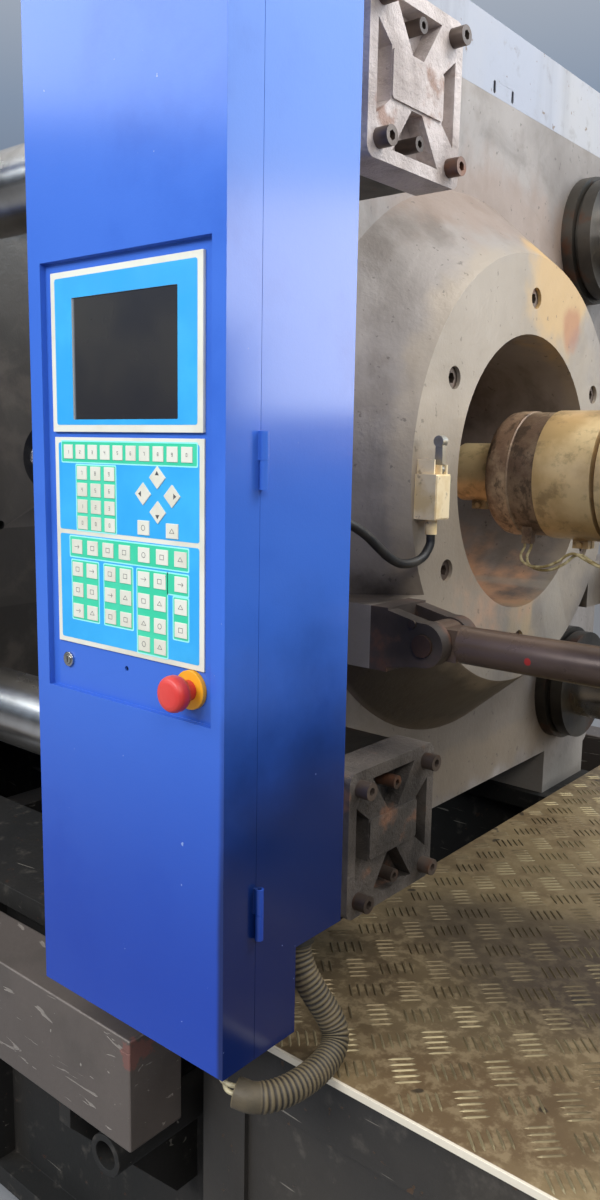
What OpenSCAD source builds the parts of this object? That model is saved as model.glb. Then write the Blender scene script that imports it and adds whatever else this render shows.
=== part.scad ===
// Injection moulding machine with a direct hydraulic clamp, about 650 tonnes.
// X runs along the machine, to the injection end. Y runs away from the operator. Z is up from the floor.
// The origin is on the floor below the middle of the base.

/* [Base] */
// Length of the whole base
base_l = 7200; // [7100:20:7600]
// Place of the fixed platen's injection side, measured from mid-length
platen_x = 210; // [190:5:240]
// Height of the machined ways that the platens stand on
way_h = 700; // [680:5:700]
// Height of the platens' lower edge above the ways
platen_rise = 77; // [70:1:84]
// Height of the levelling feet
foot_h = 60; // [50:2:80]
// Distance of each bed girder's inner face from the centreline
girder_in = 420; // [400:5:435]
// Width of a bed girder
girder_w = 250; // [230:5:260]
// Thickness of the girders' plates
girder_t = 25; // [20:1:32]
// Width of a door sill beam
sill_w = 90; // [80:2:100]
// Height of a door sill beam
sill_h = 158; // [140:2:170]
// Height of the sill's top above the ways
sill_rise = 56; // [50:2:70]
// Height of the deck's top above the ways
deck_rise = 40; // [35:1:45]
// Width of the deck plate
deck_w = 1500; // [1480:10:1540]
// Thickness of the deck plate
deck_t = 10; // [8:1:12]
// Gap between the fixed platen and the deck's edge
deck_gap = 66; // [62:1:75]
// Wall of the injection base's welded box
base_wall = 16; // [12:1:20]

/* [Clamp] */
// Width and height of the platens
platen_w = 1360; // [1340:5:1370]
// Thickness of the fixed platen's plate
platen_t = 360; // [340:5:380]
// Thickness of the moving platen's front plate
front_t = 200; // [180:5:220]
// Depth of the moving platen's rear box
rear_box_t = 260; // [240:5:280]
// Thickness of the cylinder platen
cylinder_platen_t = 400; // [380:5:420]
// Distance between tie bar centres across the machine
bar_gap = 1010; // [990:5:1015]
// Distance between tie bar centres in height
bar_gap_h = 990; // [970:5:1000]
// Diameter of a tie bar
bar_d = 145; // [130:1:150]
// Space between the platens at rest
daylight = 900; // [850:10:950]
// Travel of the moving platen each way from rest
clamp_travel = 500; // [480:10:520]
// Diameter of the clamping ram
ram_d = 600; // [560:5:620]
// Wall of the clamping cylinder
cylinder_wall = 80; // [70:2:90]
// Diameter of the locating bores
locating_d = 200; // [160:5:220]
// Depth of the locating bores
locating_t = 70; // [60:2:90]
// Spacing of the outer mould bolt holes
mould_pitch = 770; // [740:5:780]
// Spacing of the inner mould bolt holes
mould_inner = 350; // [320:5:380]
// Diameter of the mould bolt holes
mould_hole_d = 24; // [20:1:26]
// Inner edge of a platen foot, from the centreline
platen_foot_in = 442; // [440:2:460]
// Outer edge of a platen foot
platen_foot_out = 660; // [640:5:665]
// Height of the arch between the fixed platen's feet
arch_h = 103; // [90:1:110]

/* [Fixed platen hub] */
// Height of the raised hub
hub_h = 140; // [130:2:150]
// Radius of the hub at its root
hub_root_r = 494; // [480:2:510]
// Radius of the hub's flat ring
hub_ring_r = 376; // [366:2:386]
// Radius of the nozzle recess
recess_r = 242; // [230:1:250]
// Radius of the hub's bolt circle
hub_bolt_r = 304; // [298:1:320]
// Width of a square nut cover
cover_w = 210; // [200:2:220]
// Thickness of a square nut cover
cover_t = 60; // [54:2:66]
// Length of the tie bar nuts under the covers
near_nut_t = 154; // [146:2:160]
// Thickness of the tie bar nuts without a cover
far_nut_t = 60; // [50:2:70]
// Height of the pad that carries the pull rod's clevis
clevis_pad_h = 94; // [88:2:100]
// Distance of the pull rods from the centreline
pull_y = 420; // [415:1:425]
// Distance of the pull rods below the axis
pull_drop = 232; // [226:1:240]
// Diameter of a pull rod
pull_d = 54; // [48:1:58]
// Length of pull rod in front of its cylinder, from the hub's ring
pull_free = 420; // [400:5:440]

/* [Guards] */
// Width of a sliding door
door_w = 1500; // [1440:10:1550]
// Travel of a sliding door
door_travel = 1200; // [1150:10:1250]
// Thickness of a sliding door
door_t = 30; // [26:1:34]
// Sheet thickness of the guards
sheet_t = 3; // [2:0.5:4]
// Height of the door rails
rail_h = 80; // [70:2:90]
// Height of the header box above the fixed platen
header_h = 128; // [120:2:140]

/* [Control cabinet] */
// Width of the control cabinet
cab_w = 324; // [316:2:330]
// Depth of the control cabinet
cab_d = 210; // [206:1:214]
// Depth of the cabinet's hinged front
cab_front_d = 52; // [48:1:56]
// Gap between the cabinet's top and the door header
cab_gap = 7; // [5:1:20]
// Height of the cabinet's bottom above the ways
cab_rise = 104; // [100:1:110]
// Height of the step under the cabinet's back
cab_step = 109; // [100:1:115]
// Depth of the step under the cabinet's back
cab_step_d = 87; // [84:1:92]
// Sheet thickness of the cabinet
cab_wall = 3; // [2:0.5:4]
// Width of the recess for the operating panels
recess_w = 281; // [275:1:285]
// Height of the recess for the operating panels
recess_h = 498; // [492:1:504]
// Depth of the recess for the operating panels
recess_t = 8; // [6:1:10]
// Width of the keypad
pad_w = 251; // [250:1:256]
// Height of the keypad
pad_h = 244; // [242:1:248]
// Height of the screen panel
screen_h = 179; // [175:1:183]
// Diameter of the emergency stop button
stop_d = 40; // [36:1:44]
// Travel of the emergency stop button
stop_travel = 6; // [4:1:8]

/* [Injection unit] */
// Diameter of the screw
screw_d = 80; // [76:1:82]
// Outer diameter of the barrel
barrel_d = 184; // [176:2:190]
// Distance of the barrel head from the fixed platen's face
head_x = 107; // [100:1:115]
// Diameter of the barrel head
head_d = 220; // [212:2:226]
// Length of the barrel head
head_l = 96; // [90:1:104]
// Width of a heater band
band_w = 100; // [94:1:104]
// Gap between heater bands
band_gap = 8; // [6:1:12]
// Thickness of a heater band
band_t = 19; // [16:1:22]
// Length of the barrel between its head and the feed housing
barrel_l = 1357; // [1340:1:1380]
// Length of the feed housing
housing_l = 400; // [380:5:420]
// Travel of the carriage towards the mould
carriage_forward = 150; // [130:5:160]
// Travel of the carriage away from the mould
carriage_back = 450; // [420:5:460]
// Travel of the screw
screw_travel = 300; // [270:5:310]
// Diameter of the hopper
hopper_d = 520; // [480:10:560]
// Height of the hopper's cone
hopper_cone_h = 330; // [300:5:350]
// Height of the hopper's upper ring
hopper_ring_h = 180; // [160:5:200]
// Sheet thickness of the hopper
hopper_t = 4; // [3:0.5:5]

/* [Fits] */
// Running clearance of sliding and turning fits
run = 0.05; // [0.03:0.01:0.08]
// Clearance of loose guards and doors
loose = 0.3; // [0.2:0.05:0.5]

/* [Hidden] */
$fn = 48;

// Heights of the axis and of what stands on the ways
axis_h = way_h + platen_rise + platen_w / 2;
deck_h = way_h + deck_rise;
cab_z = way_h + cab_rise;

// Places along X
base_end = base_l / 2;
bed_end = platen_x + 60;
sill_end = platen_x + 80;
fixed_face = platen_x - platen_t;
moving_face = fixed_face - daylight;
box_face = moving_face - front_t;
moving_back = box_face - rear_box_t;
ram_flange_t = 60;
ring_t = 40;
cylinder_front = moving_back - ram_flange_t - clamp_travel - ring_t - 30;
cylinder_flange_t = 100;
rear_face = cylinder_front - cylinder_flange_t;
rear_back = rear_face - cylinder_platen_t;
ram_end = moving_back - 2 * clamp_travel - 430;
cylinder_inner = ram_end - clamp_travel - 30;
cylinder_end = cylinder_inner - 100;
ring_face = platen_x + hub_h;
cover_face = platen_x + near_nut_t;
head_front = platen_x + head_x;
barrel_x = head_front + head_l;
housing_x = barrel_x + barrel_l;
housing_end = housing_x + housing_l;
throat_x = housing_x + 90;
barrel_end = housing_end + 40;
drive_x = housing_end + 660;
drive_t = 120;

// Radii and heights
bar_r = bar_d / 2;
ram_r = ram_d / 2;
cylinder_r = ram_r + cylinder_wall;
half_gap = bar_gap / 2;
half_gap_h = bar_gap_h / 2;
platen_top = axis_h + platen_w / 2;
shoe_t = 30;
sill_in = girder_in + girder_w + 120;
sill_out = sill_in + sill_w;
sill_top = way_h + sill_rise;
sill_x = 40 - base_l / 2;
rail_end = platen_x - 300;
locating_r = locating_d / 2;

// Fixed platen's small features
clevis_base_t = 30;
clevis_pin_x = ring_face + 91;
clevis_r = 32;
cheek_t = 26;
eye_w = 48;
pin_r = 13;
keeper_x = clevis_pin_x - 18;
keeper_z = axis_h - pull_drop + 29;
keeper_r = 3.5;
pull_z = axis_h - pull_drop;
pull_r = pull_d / 2;
screw_edge = 24;
pocket_t = 26;
cap_screw_r = 10;
cover_screw_r = 7;
middle_screw_r = 5.5;
middle_screw_z = 70;

// Injection unit's small features
barrel_r = barrel_d / 2;
head_r = head_d / 2;
screw_r = screw_d / 2;
nozzle_r = 42;
band_pitch = band_w + band_gap;
band_count = floor((barrel_l - 20) / band_pitch);
carriage_top = deck_h + 160;
carriage_t = 70;
carriage_half = 400;
rail_w = 60;
slide_rail_h = 50;
slide_rail_y = 300;
pull_front = ring_face + pull_free;
piston_x = pull_front + carriage_back + 10;
piston_t = 50;
cylinder_head_t = 40;
pull_rear = piston_x + piston_t + carriage_forward + 20;
pull_bore_r = 45;
injection_y = 200;
injection_l = 600;
hopper_z = axis_h + 240;

// Control cabinet's places
cab_right = platen_x + 268;
cab_left = cab_right - cab_w;
cab_back = -platen_w / 2 - 15;
cab_front = cab_back - cab_d;
seam_y = cab_front + cab_front_d;
cab_top = platen_top - cab_gap;
seam_gap = 0.5;
recess_left = cab_left + 23;
recess_top = axis_h + 245;
recess_floor = cab_front + recess_t;
panel_left = recess_left + 14;
screen_top = recess_top - 12;
pad_top = screen_top - screen_h - 6;
switch_row = pad_top - pad_h - 22;
stop_x = cab_right - 55;
key_x = cab_left + 54;
lamp_x = cab_left + 160;
hinge_r = 5;
hinge_pin_r = 2.5;
hinge_l = 60;
hinge_x = cab_right + hinge_r + 0.3;
hinge_y = seam_y - seam_gap / 2;
hinge_places = [for (share = [0.113, 0.49, 0.89]) share * (cab_top - cab_z)];
front_reach = -(recess_floor - 38);
stop_stem_r = 11;
key_r = 5.5;

// Routes of the hose and the wires, chosen by hand and placed from the pieces they join
hose_r = 18;
hose_top = cab_z + cab_step - 18;
hose_low = deck_h + hose_r + 0.5;
hose_shape = [[-32, -45, 1], [-32, -45, 0.955], [-30, -46, 0.87], [-21, -45, 0.7], [-8, -37, 0.5],
    [3, -27, 0.32], [12, -23, 0.17], [19, -32, 0.06], [24, -53, 0.01], [27, -85, 0], [25, -117, 0],
    [16, -145, 0], [2, -163, 0.01], [-16, -171, 0.03]];
hose_route = [for (p = hose_shape) [cab_right + p.x, cab_back + p.y, hose_low + p.z * (hose_top - hose_low)]];
wire_r = 3;
wire_shape_a = [[-16, -171, 0.25], [-22.4, -173.8, 0.255], [-31, -176, 0.28], [-39, -174, 0.36],
    [-45, -165, 0.52], [-47, -153, 0.7], [-47, -143, 0.86], [-47, -141, 0.94], [-47, -141, 1]];
wire_shape_b = [[-16, -171, 0.04], [-22.4, -173.8, 0.045], [-31, -173, 0.08], [-38, -166, 0.17],
    [-41, -154, 0.34], [-40, -143, 0.6], [-38, -134, 0.86], [-38, -133, 0.94], [-38, -133, 1]];
function wire_route(shape) = [for (p = shape) [cab_right + p.x, cab_back + p.y,
    hose_low + p.z * (cab_z - hose_low)]];
cable_r = 7;
switch_size = [37, 40, 68];
switch_low = [ring_face, -365.5, axis_h - 64];
cable_start = [ring_face + 20, -347, axis_h - 87];
cable_end = [platen_x + 116, cab_back + 18, axis_h - 45];
cable_shape = [[0, 0, 0], [0, 0, -6], [0, 0.006, -17], [0.02, 0.053, -33], [0.04, 0.13, -40],
    [0.055, 0.227, -39], [0.07, 0.317, -28], [0.09, 0.4, -11], [0.13, 0.48, 7], [0.2, 0.575, 23],
    [0.35, 0.668, 33], [0.53, 0.76, 39], [0.75, 0.854, 42], [0.93, 0.93, 42], [1, 0.98, 42], [1, 1, 42]];
cable_route = [for (p = cable_shape) [cable_start.x + p.x * (cable_end.x - cable_start.x),
    cable_start.y + p.y * (cable_end.y - cable_start.y), cable_start.z + p.z]];
band_wire_r = 2.5;
band_low = barrel_r + band_t + 8;
terminal_x = [barrel_x - 28, barrel_x + band_pitch + 90];
band_wire_shape = [[0, 0, 0], [0, 0, 7], [-0.02, -4, 20], [0.01, -8, 32], [0.09, -10, 38], [0.2, -10, 36],
    [0.3, -6, 25], [0.36, -4, 14], [0.42, -3, 11], [0.5, -3, 19], [0.62, -3, 29], [0.75, -3, 31],
    [0.88, -2, 24], [0.96, -1, 14], [1, 0, 6], [1, 0, 0]];
function band_wire(dx, y, sag) = [for (p = band_wire_shape) [
    terminal_x[0] + dx + p.x * (terminal_x[1] - terminal_x[0]), y + p.y, axis_h - band_low - sag * p.z]];

// A box between two corners
module box(low, high) {
    translate(low) cube(high - low);
}

// A round bar along X
module bar_x(x, y, z, r, l) {
    translate([x, y, z]) rotate([0, 90, 0]) cylinder(h = l, r = r);
}

// A round taper along X
module taper_x(x, y, z, r1, r2, l) {
    translate([x, y, z]) rotate([0, 90, 0]) cylinder(h = l, r1 = r1, r2 = r2);
}

// A round bar along Y
module bar_y(x, y, z, r, l) {
    translate([x, y, z]) rotate([-90, 0, 0]) cylinder(h = l, r = r);
}

// A rectangle with round corners, on its centre
module round_rect(w, h, r) {
    union() {
        square([w - 2 * r, h], center = true);
        square([w, h - 2 * r], center = true);
        for (a = [-1, 1], b = [-1, 1]) translate([a * (w / 2 - r), b * (h / 2 - r)]) circle(r);
    }
}

// An outline drawn across the machine, thickened along X
module across(x, t) {
    translate([x, 0, 0]) rotate([90, 0, 90]) linear_extrude(t) children();
}

// An outline drawn along the machine, thickened towards +Y
module along(y, t) {
    translate([0, y + t, 0]) rotate([90, 0, 0]) linear_extrude(t) children();
}

// The same piece on both sides of the machine
module both_sides() {
    children();
    mirror([0, 1, 0]) children();
}

// Every tie bar's place
module at_bars() {
    for (sy = [-1, 1], sz = [-1, 1]) translate([0, sy * half_gap, axis_h + sz * half_gap_h]) children();
}

// Unit vectors and rings of a swept tube
function unit(v) = v / norm(v);
function heading(p, i) = unit(p[min(i + 1, len(p) - 1)] - p[max(i - 1, 0)]);
function side_of(d) = abs(d.z) < 0.9 ? unit(cross(d, [0, 0, 1])) : unit(cross(d, [0, 1, 0]));
function carry(s, d) = unit(s - (s * d) * d);
function sides(p, i) = i == 0 ? side_of(heading(p, 0)) : carry(sides(p, i - 1), heading(p, i));
function ring(p, i, r, n) = let (d = heading(p, i), s = sides(p, i), u = cross(d, s))
    [for (k = [0 : n - 1]) p[i] + r * (cos(360 * k / n) * s + sin(360 * k / n) * u)];

// A tube swept along a route's own points
module tube(p, r, n) {
    points = [for (i = [0 : len(p) - 1]) each ring(p, i, r, n)];
    last = (len(p) - 1) * n;
    walls = [for (i = [0 : len(p) - 2], k = [0 : n - 1])
        [i * n + k, i * n + (k + 1) % n, (i + 1) * n + (k + 1) % n, (i + 1) * n + k]];
    faces = concat(walls, [[for (k = [n - 1 : -1 : 0]) k]], [[for (k = [0 : n - 1]) last + k]]);
    polyhedron(points, faces);
}

// One bed girder's section: a box beam with recessed webs
module girder_section() {
    web_in = 45;
    flange = 40;
    difference() {
        translate([girder_in, foot_h]) square([girder_w, way_h - foot_h]);
        for (y = [girder_in - 1, girder_in + girder_w - web_in])
            translate([y, foot_h + flange]) square([web_in + 1, way_h - foot_h - 2 * flange]);
        translate([girder_in + web_in + girder_t, foot_h + flange])
            square([girder_w - 2 * web_in - 2 * girder_t, way_h - foot_h - 2 * flange]);
    }
}

// The bracket that carries a door sill on a girder
module sill_bracket(x) {
    outer = girder_in + girder_w;
    across(x, girder_t) polygon([[outer - 45, sill_top - sill_h], [sill_out - 10, sill_top - sill_h],
        [sill_out - 10, sill_top - sill_h - 40], [outer, way_h - 370], [outer - 45, way_h - 370]]);
}

module clamp_bed() {
    length = bed_end + base_l / 2;
    bays = 6;
    cross_x = [for (i = [0 : bays]) i * (length - girder_t) / bays - base_l / 2];
    lift_x = [platen_x - 10, 420 - base_l / 2];
    lift_z = way_h - 170;
    cross_top = way_h - 180;
    color("dimgray") difference() {
        union() {
            both_sides() across(-base_l / 2, length) girder_section();
            both_sides() for (x = cross_x) box([x, girder_in + 2, foot_h + 2],
                [x + girder_t, girder_in + girder_w - 2, way_h - 2]);
            both_sides() for (i = [1 : bays]) sill_bracket(cross_x[i] - (i == bays ? 120 : 0));
            for (i = [0, 2, 4, 6]) box([cross_x[i], -girder_in - 2, cross_top - 340],
                [cross_x[i] + girder_t, girder_in + 2, cross_top]);
            for (i = [0, 2, 4, 6]) box([cross_x[i] - (i == 0 ? 0 : 60), -girder_in - 2, cross_top - 40],
                [cross_x[i] + (i == 0 ? 85 : girder_t), girder_in + 2, cross_top]);
            for (x = lift_x) bar_y(x, -sill_out + 30, lift_z, 30, 2 * sill_out - 60);
        }
        for (x = lift_x) bar_y(x, -sill_out, lift_z, 20, 2 * sill_out);
    }
}

module injection_base() {
    half = deck_w / 2 - 20;
    top = deck_h - deck_t;
    length = base_end - bed_end;
    color("darkslategray") difference() {
        union() {
            difference() {
                box([bed_end, -half, foot_h], [base_end, half, top]);
                box([bed_end + base_wall, -half + base_wall, foot_h + base_wall],
                    [base_end - base_wall, half - base_wall, top + 1]);
            }
            for (i = [1, 2]) box([bed_end + i * length / 3, -half + 1, foot_h + 1],
                [bed_end + i * length / 3 + base_wall, half - 1, top]);
            for (y = [-slide_rail_y - rail_w, slide_rail_y]) box([bed_end + 1, y, top - 120],
                [base_end - 1, y + rail_w, top]);
        }
        for (i = [0 : 2], s = [-1, 1]) translate([bed_end + (i + 0.5) * length / 3, s * half, foot_h + 340])
            rotate([90, 0, 0]) linear_extrude(base_wall, center = true)
                round_rect(length / 3 - 160, 460, 30);
    }
}

module deck_plate() {
    color("darkkhaki") box([platen_x + deck_gap, -deck_w / 2, deck_h - deck_t],
        [base_end, deck_w / 2, deck_h]);
}

// A levelling foot: a pad, its stud and a hexagon nut
module foot(x, y) {
    translate([x, y, 0]) union() {
        cylinder(h = 18, r1 = 72, r2 = 66);
        cylinder(h = foot_h, r = 18);
        translate([0, 0, foot_h - 24]) cylinder(h = 24, r = 34, $fn = 6);
    }
}

module levelling_feet() {
    girder_y = girder_in + girder_w / 2;
    color("gray") both_sides() union() {
        for (i = [0 : 3]) foot(160 - base_l / 2 + i * (bed_end + base_l / 2 - 320) / 3, girder_y);
        for (i = [0 : 2]) foot(bed_end + 160 + i * (base_end - bed_end - 320) / 2, 620);
    }
}

module door_sills() {
    wall = 10;
    color("saddlebrown") both_sides() difference() {
        box([sill_x, sill_in, sill_top - sill_h], [sill_end, sill_out, sill_top]);
        box([sill_x - 1, sill_in + wall, sill_top - sill_h + wall],
            [sill_end - wall, sill_out - wall, sill_top - wall]);
    }
}

// A platen's outline about the axis, with feet down to a height above the ways
module platen_outline(foot_bottom, arch) {
    bottom = way_h + foot_bottom - axis_h;
    difference() {
        union() {
            round_rect(platen_w, platen_w, 28);
            for (s = [-1, 1]) translate([s > 0 ? platen_foot_in : -platen_foot_out, bottom])
                square([platen_foot_out - platen_foot_in, 40 - platen_w / 2 - bottom]);
        }
        translate([-platen_foot_in, bottom - 1])
            square([2 * platen_foot_in, way_h + arch - axis_h - bottom + 1]);
    }
}

// Bores for the tie bars
module bar_bores(x, l, r) {
    at_bars() bar_x(x, 0, 0, r, l);
}

// Tapped holes for the mould's clamping bolts
module mould_holes(x, l) {
    for (p = [mould_pitch / 2, mould_inner / 2], sy = [-1, 1], sz = [-1, 1])
        bar_x(x, sy * p, axis_h + sz * p, mould_hole_d / 2, l);
}

module fixed_platen() {
    bolt_hole = cap_screw_r + run;
    color("rosybrown") difference() {
        union() {
            difference() {
                translate([0, 0, axis_h]) across(fixed_face, platen_t) platen_outline(0, arch_h);
                for (s = [-1, 1], z = [-230, 230]) translate([fixed_face + platen_t / 2, 0, axis_h + z])
                    translate([0, s * (platen_w / 2 - 80), 0]) rotate([90, 0, 0])
                        linear_extrude(200, center = true) round_rect(platen_t - 170, 260, 40);
            }
            taper_x(platen_x - 1, 0, axis_h, hub_root_r, hub_ring_r, hub_h + 1);
            for (s = [-1, 1]) box([platen_x - 1, s > 0 ? 300 : -pull_y - 50, pull_z - clevis_pad_h / 2],
                [ring_face, s > 0 ? pull_y + 50 : -300, pull_z + clevis_pad_h / 2]);
        }
        bar_x(fixed_face + locating_t, 0, axis_h, recess_r, platen_t + hub_h);
        bar_x(fixed_face - 1, 0, axis_h, locating_r, locating_t + 2);
        bar_bores(fixed_face - 1, platen_t + 2, bar_r + run);
        mould_holes(fixed_face - 1, 51);
        for (a = [30 : 60 : 330]) translate([0, 0, axis_h]) rotate([a, 0, 0]) {
            bar_x(ring_face - 22, hub_bolt_r, 0, 18, 23);
            bar_x(ring_face - 82, hub_bolt_r, 0, bolt_hole, 82);
        }
    }
}

module tie_bars() {
    start = rear_back - 200;
    color("gainsboro") {
        for (sz = [-1, 1]) {
            bar_x(start, -half_gap, axis_h + sz * half_gap_h, bar_r, cover_face - 4 - start);
            bar_x(start, half_gap, axis_h + sz * half_gap_h, bar_r, platen_x + far_nut_t + 78 - start);
        }
    }
}

// Split nut under a square cover, tapped for the cover's screws
module block_nut() {
    reach = cover_w / 2 - screw_edge;
    difference() {
        across(platen_x, near_nut_t) round_rect(cover_w - 12, cover_w - 12, 12);
        bar_x(platen_x - 1, 0, 0, bar_r + run, near_nut_t + 2);
        for (a = [-1, 1], b = [-1, 1]) bar_x(cover_face - 60, a * reach, b * reach, cover_screw_r + run, 61);
    }
}

// Round nut: an outer rim, a groove and a raised disc
module round_nut() {
    difference() {
        union() {
            bar_x(platen_x, 0, 0, bar_r * 1.82, far_nut_t * 0.4);
            bar_x(platen_x, 0, 0, bar_r * 1.58, far_nut_t * 0.6);
            bar_x(platen_x + far_nut_t * 0.55, 0, 0, bar_r * 1.7, far_nut_t * 0.45);
        }
        bar_x(platen_x - 1, 0, 0, bar_r + run, far_nut_t + 2);
    }
}

module tie_bar_nuts() {
    rear_nut_t = 160;
    color("dimgray") for (sz = [-1, 1]) {
        translate([0, -half_gap, axis_h + sz * half_gap_h]) block_nut();
        translate([0, half_gap, axis_h + sz * half_gap_h]) round_nut();
        for (sy = [-1, 1]) difference() {
            bar_x(rear_back - rear_nut_t, sy * half_gap, axis_h + sz * half_gap_h, bar_r * 1.8, rear_nut_t);
            bar_x(rear_back - rear_nut_t - 1, sy * half_gap, axis_h + sz * half_gap_h,
                bar_r + run, rear_nut_t + 2);
        }
    }
}

// Cast cover: a rim, crossed ribs, a raised bare pad in the middle, and pockets between the ribs
module nut_cover() {
    half = cover_w / 2;
    rim = 17;
    edge = half - rim;
    reach = half - screw_edge;
    pad_w = 116;
    pad_h = 58;
    difference() {
        union() {
            across(cover_face, cover_t) round_rect(cover_w, cover_w, 14);
            across(cover_face, cover_t + 2.5) round_rect(pad_w, pad_h, 5);
        }
        for (a = [0, 180]) rotate([a, 0, 0]) across(cover_face + cover_t - pocket_t, pocket_t + 3)
            polygon([[pad_w / 2 + 1, pad_h / 2 + 2], [edge, edge - 34], [edge, 34 - edge],
                [pad_w / 2 + 1, -pad_h / 2 - 2]]);
        for (a = [90, 270]) rotate([a, 0, 0]) across(cover_face + cover_t - pocket_t, pocket_t + 3)
            polygon([[pad_h / 2 + 3, 12], [edge, edge - 36], [edge, 36 - edge], [pad_h / 2 + 3, -12]]);
        for (a = [-1, 1], b = [-1, 1]) bar_x(cover_face - 1, a * reach, b * reach, cover_screw_r + run,
            cover_t + 2);
        for (b = [-1, 1]) bar_x(cover_face - 1, 0, b * middle_screw_z, middle_screw_r + run, cover_t + 2);
    }
}

module nut_covers() {
    color("dimgray") for (sz = [-1, 1]) translate([0, -half_gap, axis_h + sz * half_gap_h]) nut_cover();
}

// Cap screw along X with its head's back at x
module cap_screw(x, r, head, shank) {
    difference() {
        union() {
            bar_x(x, 0, 0, r * 1.75, head);
            bar_x(x - shank, 0, 0, r, shank);
        }
        translate([x + head - r, 0, 0]) rotate([0, 90, 0]) cylinder(h = r + 1, r = r * 0.9, $fn = 6);
    }
}

module platen_screws() {
    face = cover_face + cover_t;
    reach = cover_w / 2 - screw_edge;
    color("slategray") {
        for (sz = [-1, 1]) translate([0, -half_gap, axis_h + sz * half_gap_h]) {
            for (a = [-1, 1], b = [-1, 1]) translate([0, a * reach, b * reach])
                cap_screw(face, cover_screw_r, 20, cover_t + 40);
            for (b = [-1, 1]) translate([0, 0, b * middle_screw_z])
                cap_screw(face - pocket_t, middle_screw_r, 32, cover_t - pocket_t - 1);
        }
        both_sides() {
            bar_y(keeper_x, pull_y + eye_w / 2 + cheek_t - 13, keeper_z, keeper_r, 14);
            bar_y(keeper_x, pull_y + eye_w / 2 + cheek_t, keeper_z, 6, 3);
        }
        for (a = [30 : 60 : 330]) translate([0, 0, axis_h]) rotate([a, 0, 0]) translate([0, hub_bolt_r, 0])
            cap_screw(ring_face - 22, cap_screw_r, 16, 58);
    }
}

module moving_platen() {
    box_half = 400;
    cavity = 280;
    color("rosybrown") difference() {
        union() {
            translate([0, 0, axis_h]) across(box_face, front_t) platen_outline(shoe_t, shoe_t + 60);
            translate([0, 0, axis_h]) across(moving_back, rear_box_t + 1)
                round_rect(2 * box_half, 2 * box_half, 40);
            at_bars() bar_x(box_face - 110, 0, 0, bar_r + 46, 111);
            for (a = [45 : 90 : 315]) translate([0, 0, axis_h]) rotate([a, 0, 0])
                box([box_face - 100, 480, -28], [box_face + 1, bar_gap * 0.62, 28]);
        }
        box([moving_back + 60, -cavity, axis_h - cavity], [box_face, cavity, axis_h + cavity]);
        box([moving_back + 75, -box_half - 1, axis_h - 200], [box_face - 15, box_half + 1, axis_h + 200]);
        bar_x(moving_face - locating_t, 0, axis_h, locating_r, locating_t + 1);
        bar_x(box_face - 1, 0, axis_h, 30 + run, front_t);
        bar_bores(box_face - 120, front_t + 121, bar_r + run);
        mould_holes(moving_face - 50, 51);
    }
}

module slide_shoes() {
    color("goldenrod") both_sides() box([box_face, platen_foot_in, way_h + run],
        [moving_face, platen_foot_out, way_h + shoe_t]);
}

module ram() {
    color("silver") difference() {
        union() {
            bar_x(moving_back - ram_flange_t, 0, axis_h, ram_r + 70, ram_flange_t);
            bar_x(ram_end, 0, axis_h, ram_r, moving_back - ram_flange_t - ram_end + 1);
        }
        bar_x(ram_end - 1, 0, axis_h, ram_r - 90, 700);
    }
}

module ejector_cylinder() {
    color("steelblue") difference() {
        union() {
            bar_x(moving_back + 90, 0, axis_h, 85, box_face - moving_back - 90);
            bar_x(box_face - 26, 0, axis_h, 120, 26);
            bar_x(moving_back + 82, 0, axis_h, 60, 10);
        }
        bar_x(moving_back + 110, 0, axis_h, 30 + run, box_face - moving_back);
    }
}

module ejector_rod() {
    tip = moving_face - locating_t - 5;
    color("silver") bar_x(moving_back + 125, 0, axis_h, 30, tip - moving_back - 125);
}

module cylinder_platen() {
    color("rosybrown") difference() {
        union() {
            translate([0, 0, axis_h]) across(rear_back, cylinder_platen_t) platen_outline(0, 90);
            bar_x(rear_back - 60, 0, axis_h, cylinder_r + 90, 61);
        }
        bar_x(rear_back - 61, 0, axis_h, cylinder_r + run, cylinder_platen_t + 62);
        bar_bores(rear_back - 1, cylinder_platen_t + 2, bar_r + run);
        for (s = [-1, 1], z = [-180, 180]) translate([rear_back + cylinder_platen_t / 2, 0, axis_h + z])
            translate([0, s * platen_w / 2, 0]) rotate([90, 0, 0])
                linear_extrude(200, center = true) round_rect(cylinder_platen_t - 180, 220, 40);
    }
}

module main_cylinder() {
    color("steelblue") difference() {
        union() {
            bar_x(rear_face, 0, axis_h, cylinder_r + 70, cylinder_flange_t);
            bar_x(cylinder_end, 0, axis_h, cylinder_r, rear_face - cylinder_end + 1);
            translate([cylinder_end + 190, 0, axis_h]) cylinder(h = cylinder_r + 60, r = 90);
            translate([cylinder_end + 190, 0, axis_h + cylinder_r + 40]) cylinder(h = 40, r = 130);
            bar_x(cylinder_end - 30, 0, axis_h, cylinder_r - 120, 31);
        }
        bar_x(cylinder_inner, 0, axis_h, ram_r + run, cylinder_front - cylinder_inner + 1);
        translate([cylinder_end + 190, 0, axis_h + ram_r - 20]) cylinder(h = cylinder_wall + 120, r = 55);
    }
}

module packing_ring() {
    color("goldenrod") difference() {
        bar_x(cylinder_front, 0, axis_h, ram_r + 70, ring_t);
        bar_x(cylinder_front - 1, 0, axis_h, ram_r + run, ring_t + 2);
    }
}

module top_header() {
    low = [rail_end, -sill_out, platen_top];
    high = [platen_x, sill_out, platen_top + header_h];
    in = [sheet_t, sheet_t, 0];
    color("lightsteelblue") difference() {
        box(low, high);
        box(low + in - [0, 0, 1], high - in - [0, 0, sheet_t]);
        for (y = [67, 136]) translate([0, y, platen_top + 16]) across(platen_x - 10, 20) round_rect(9, 22, 4.4);
    }
}

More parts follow.
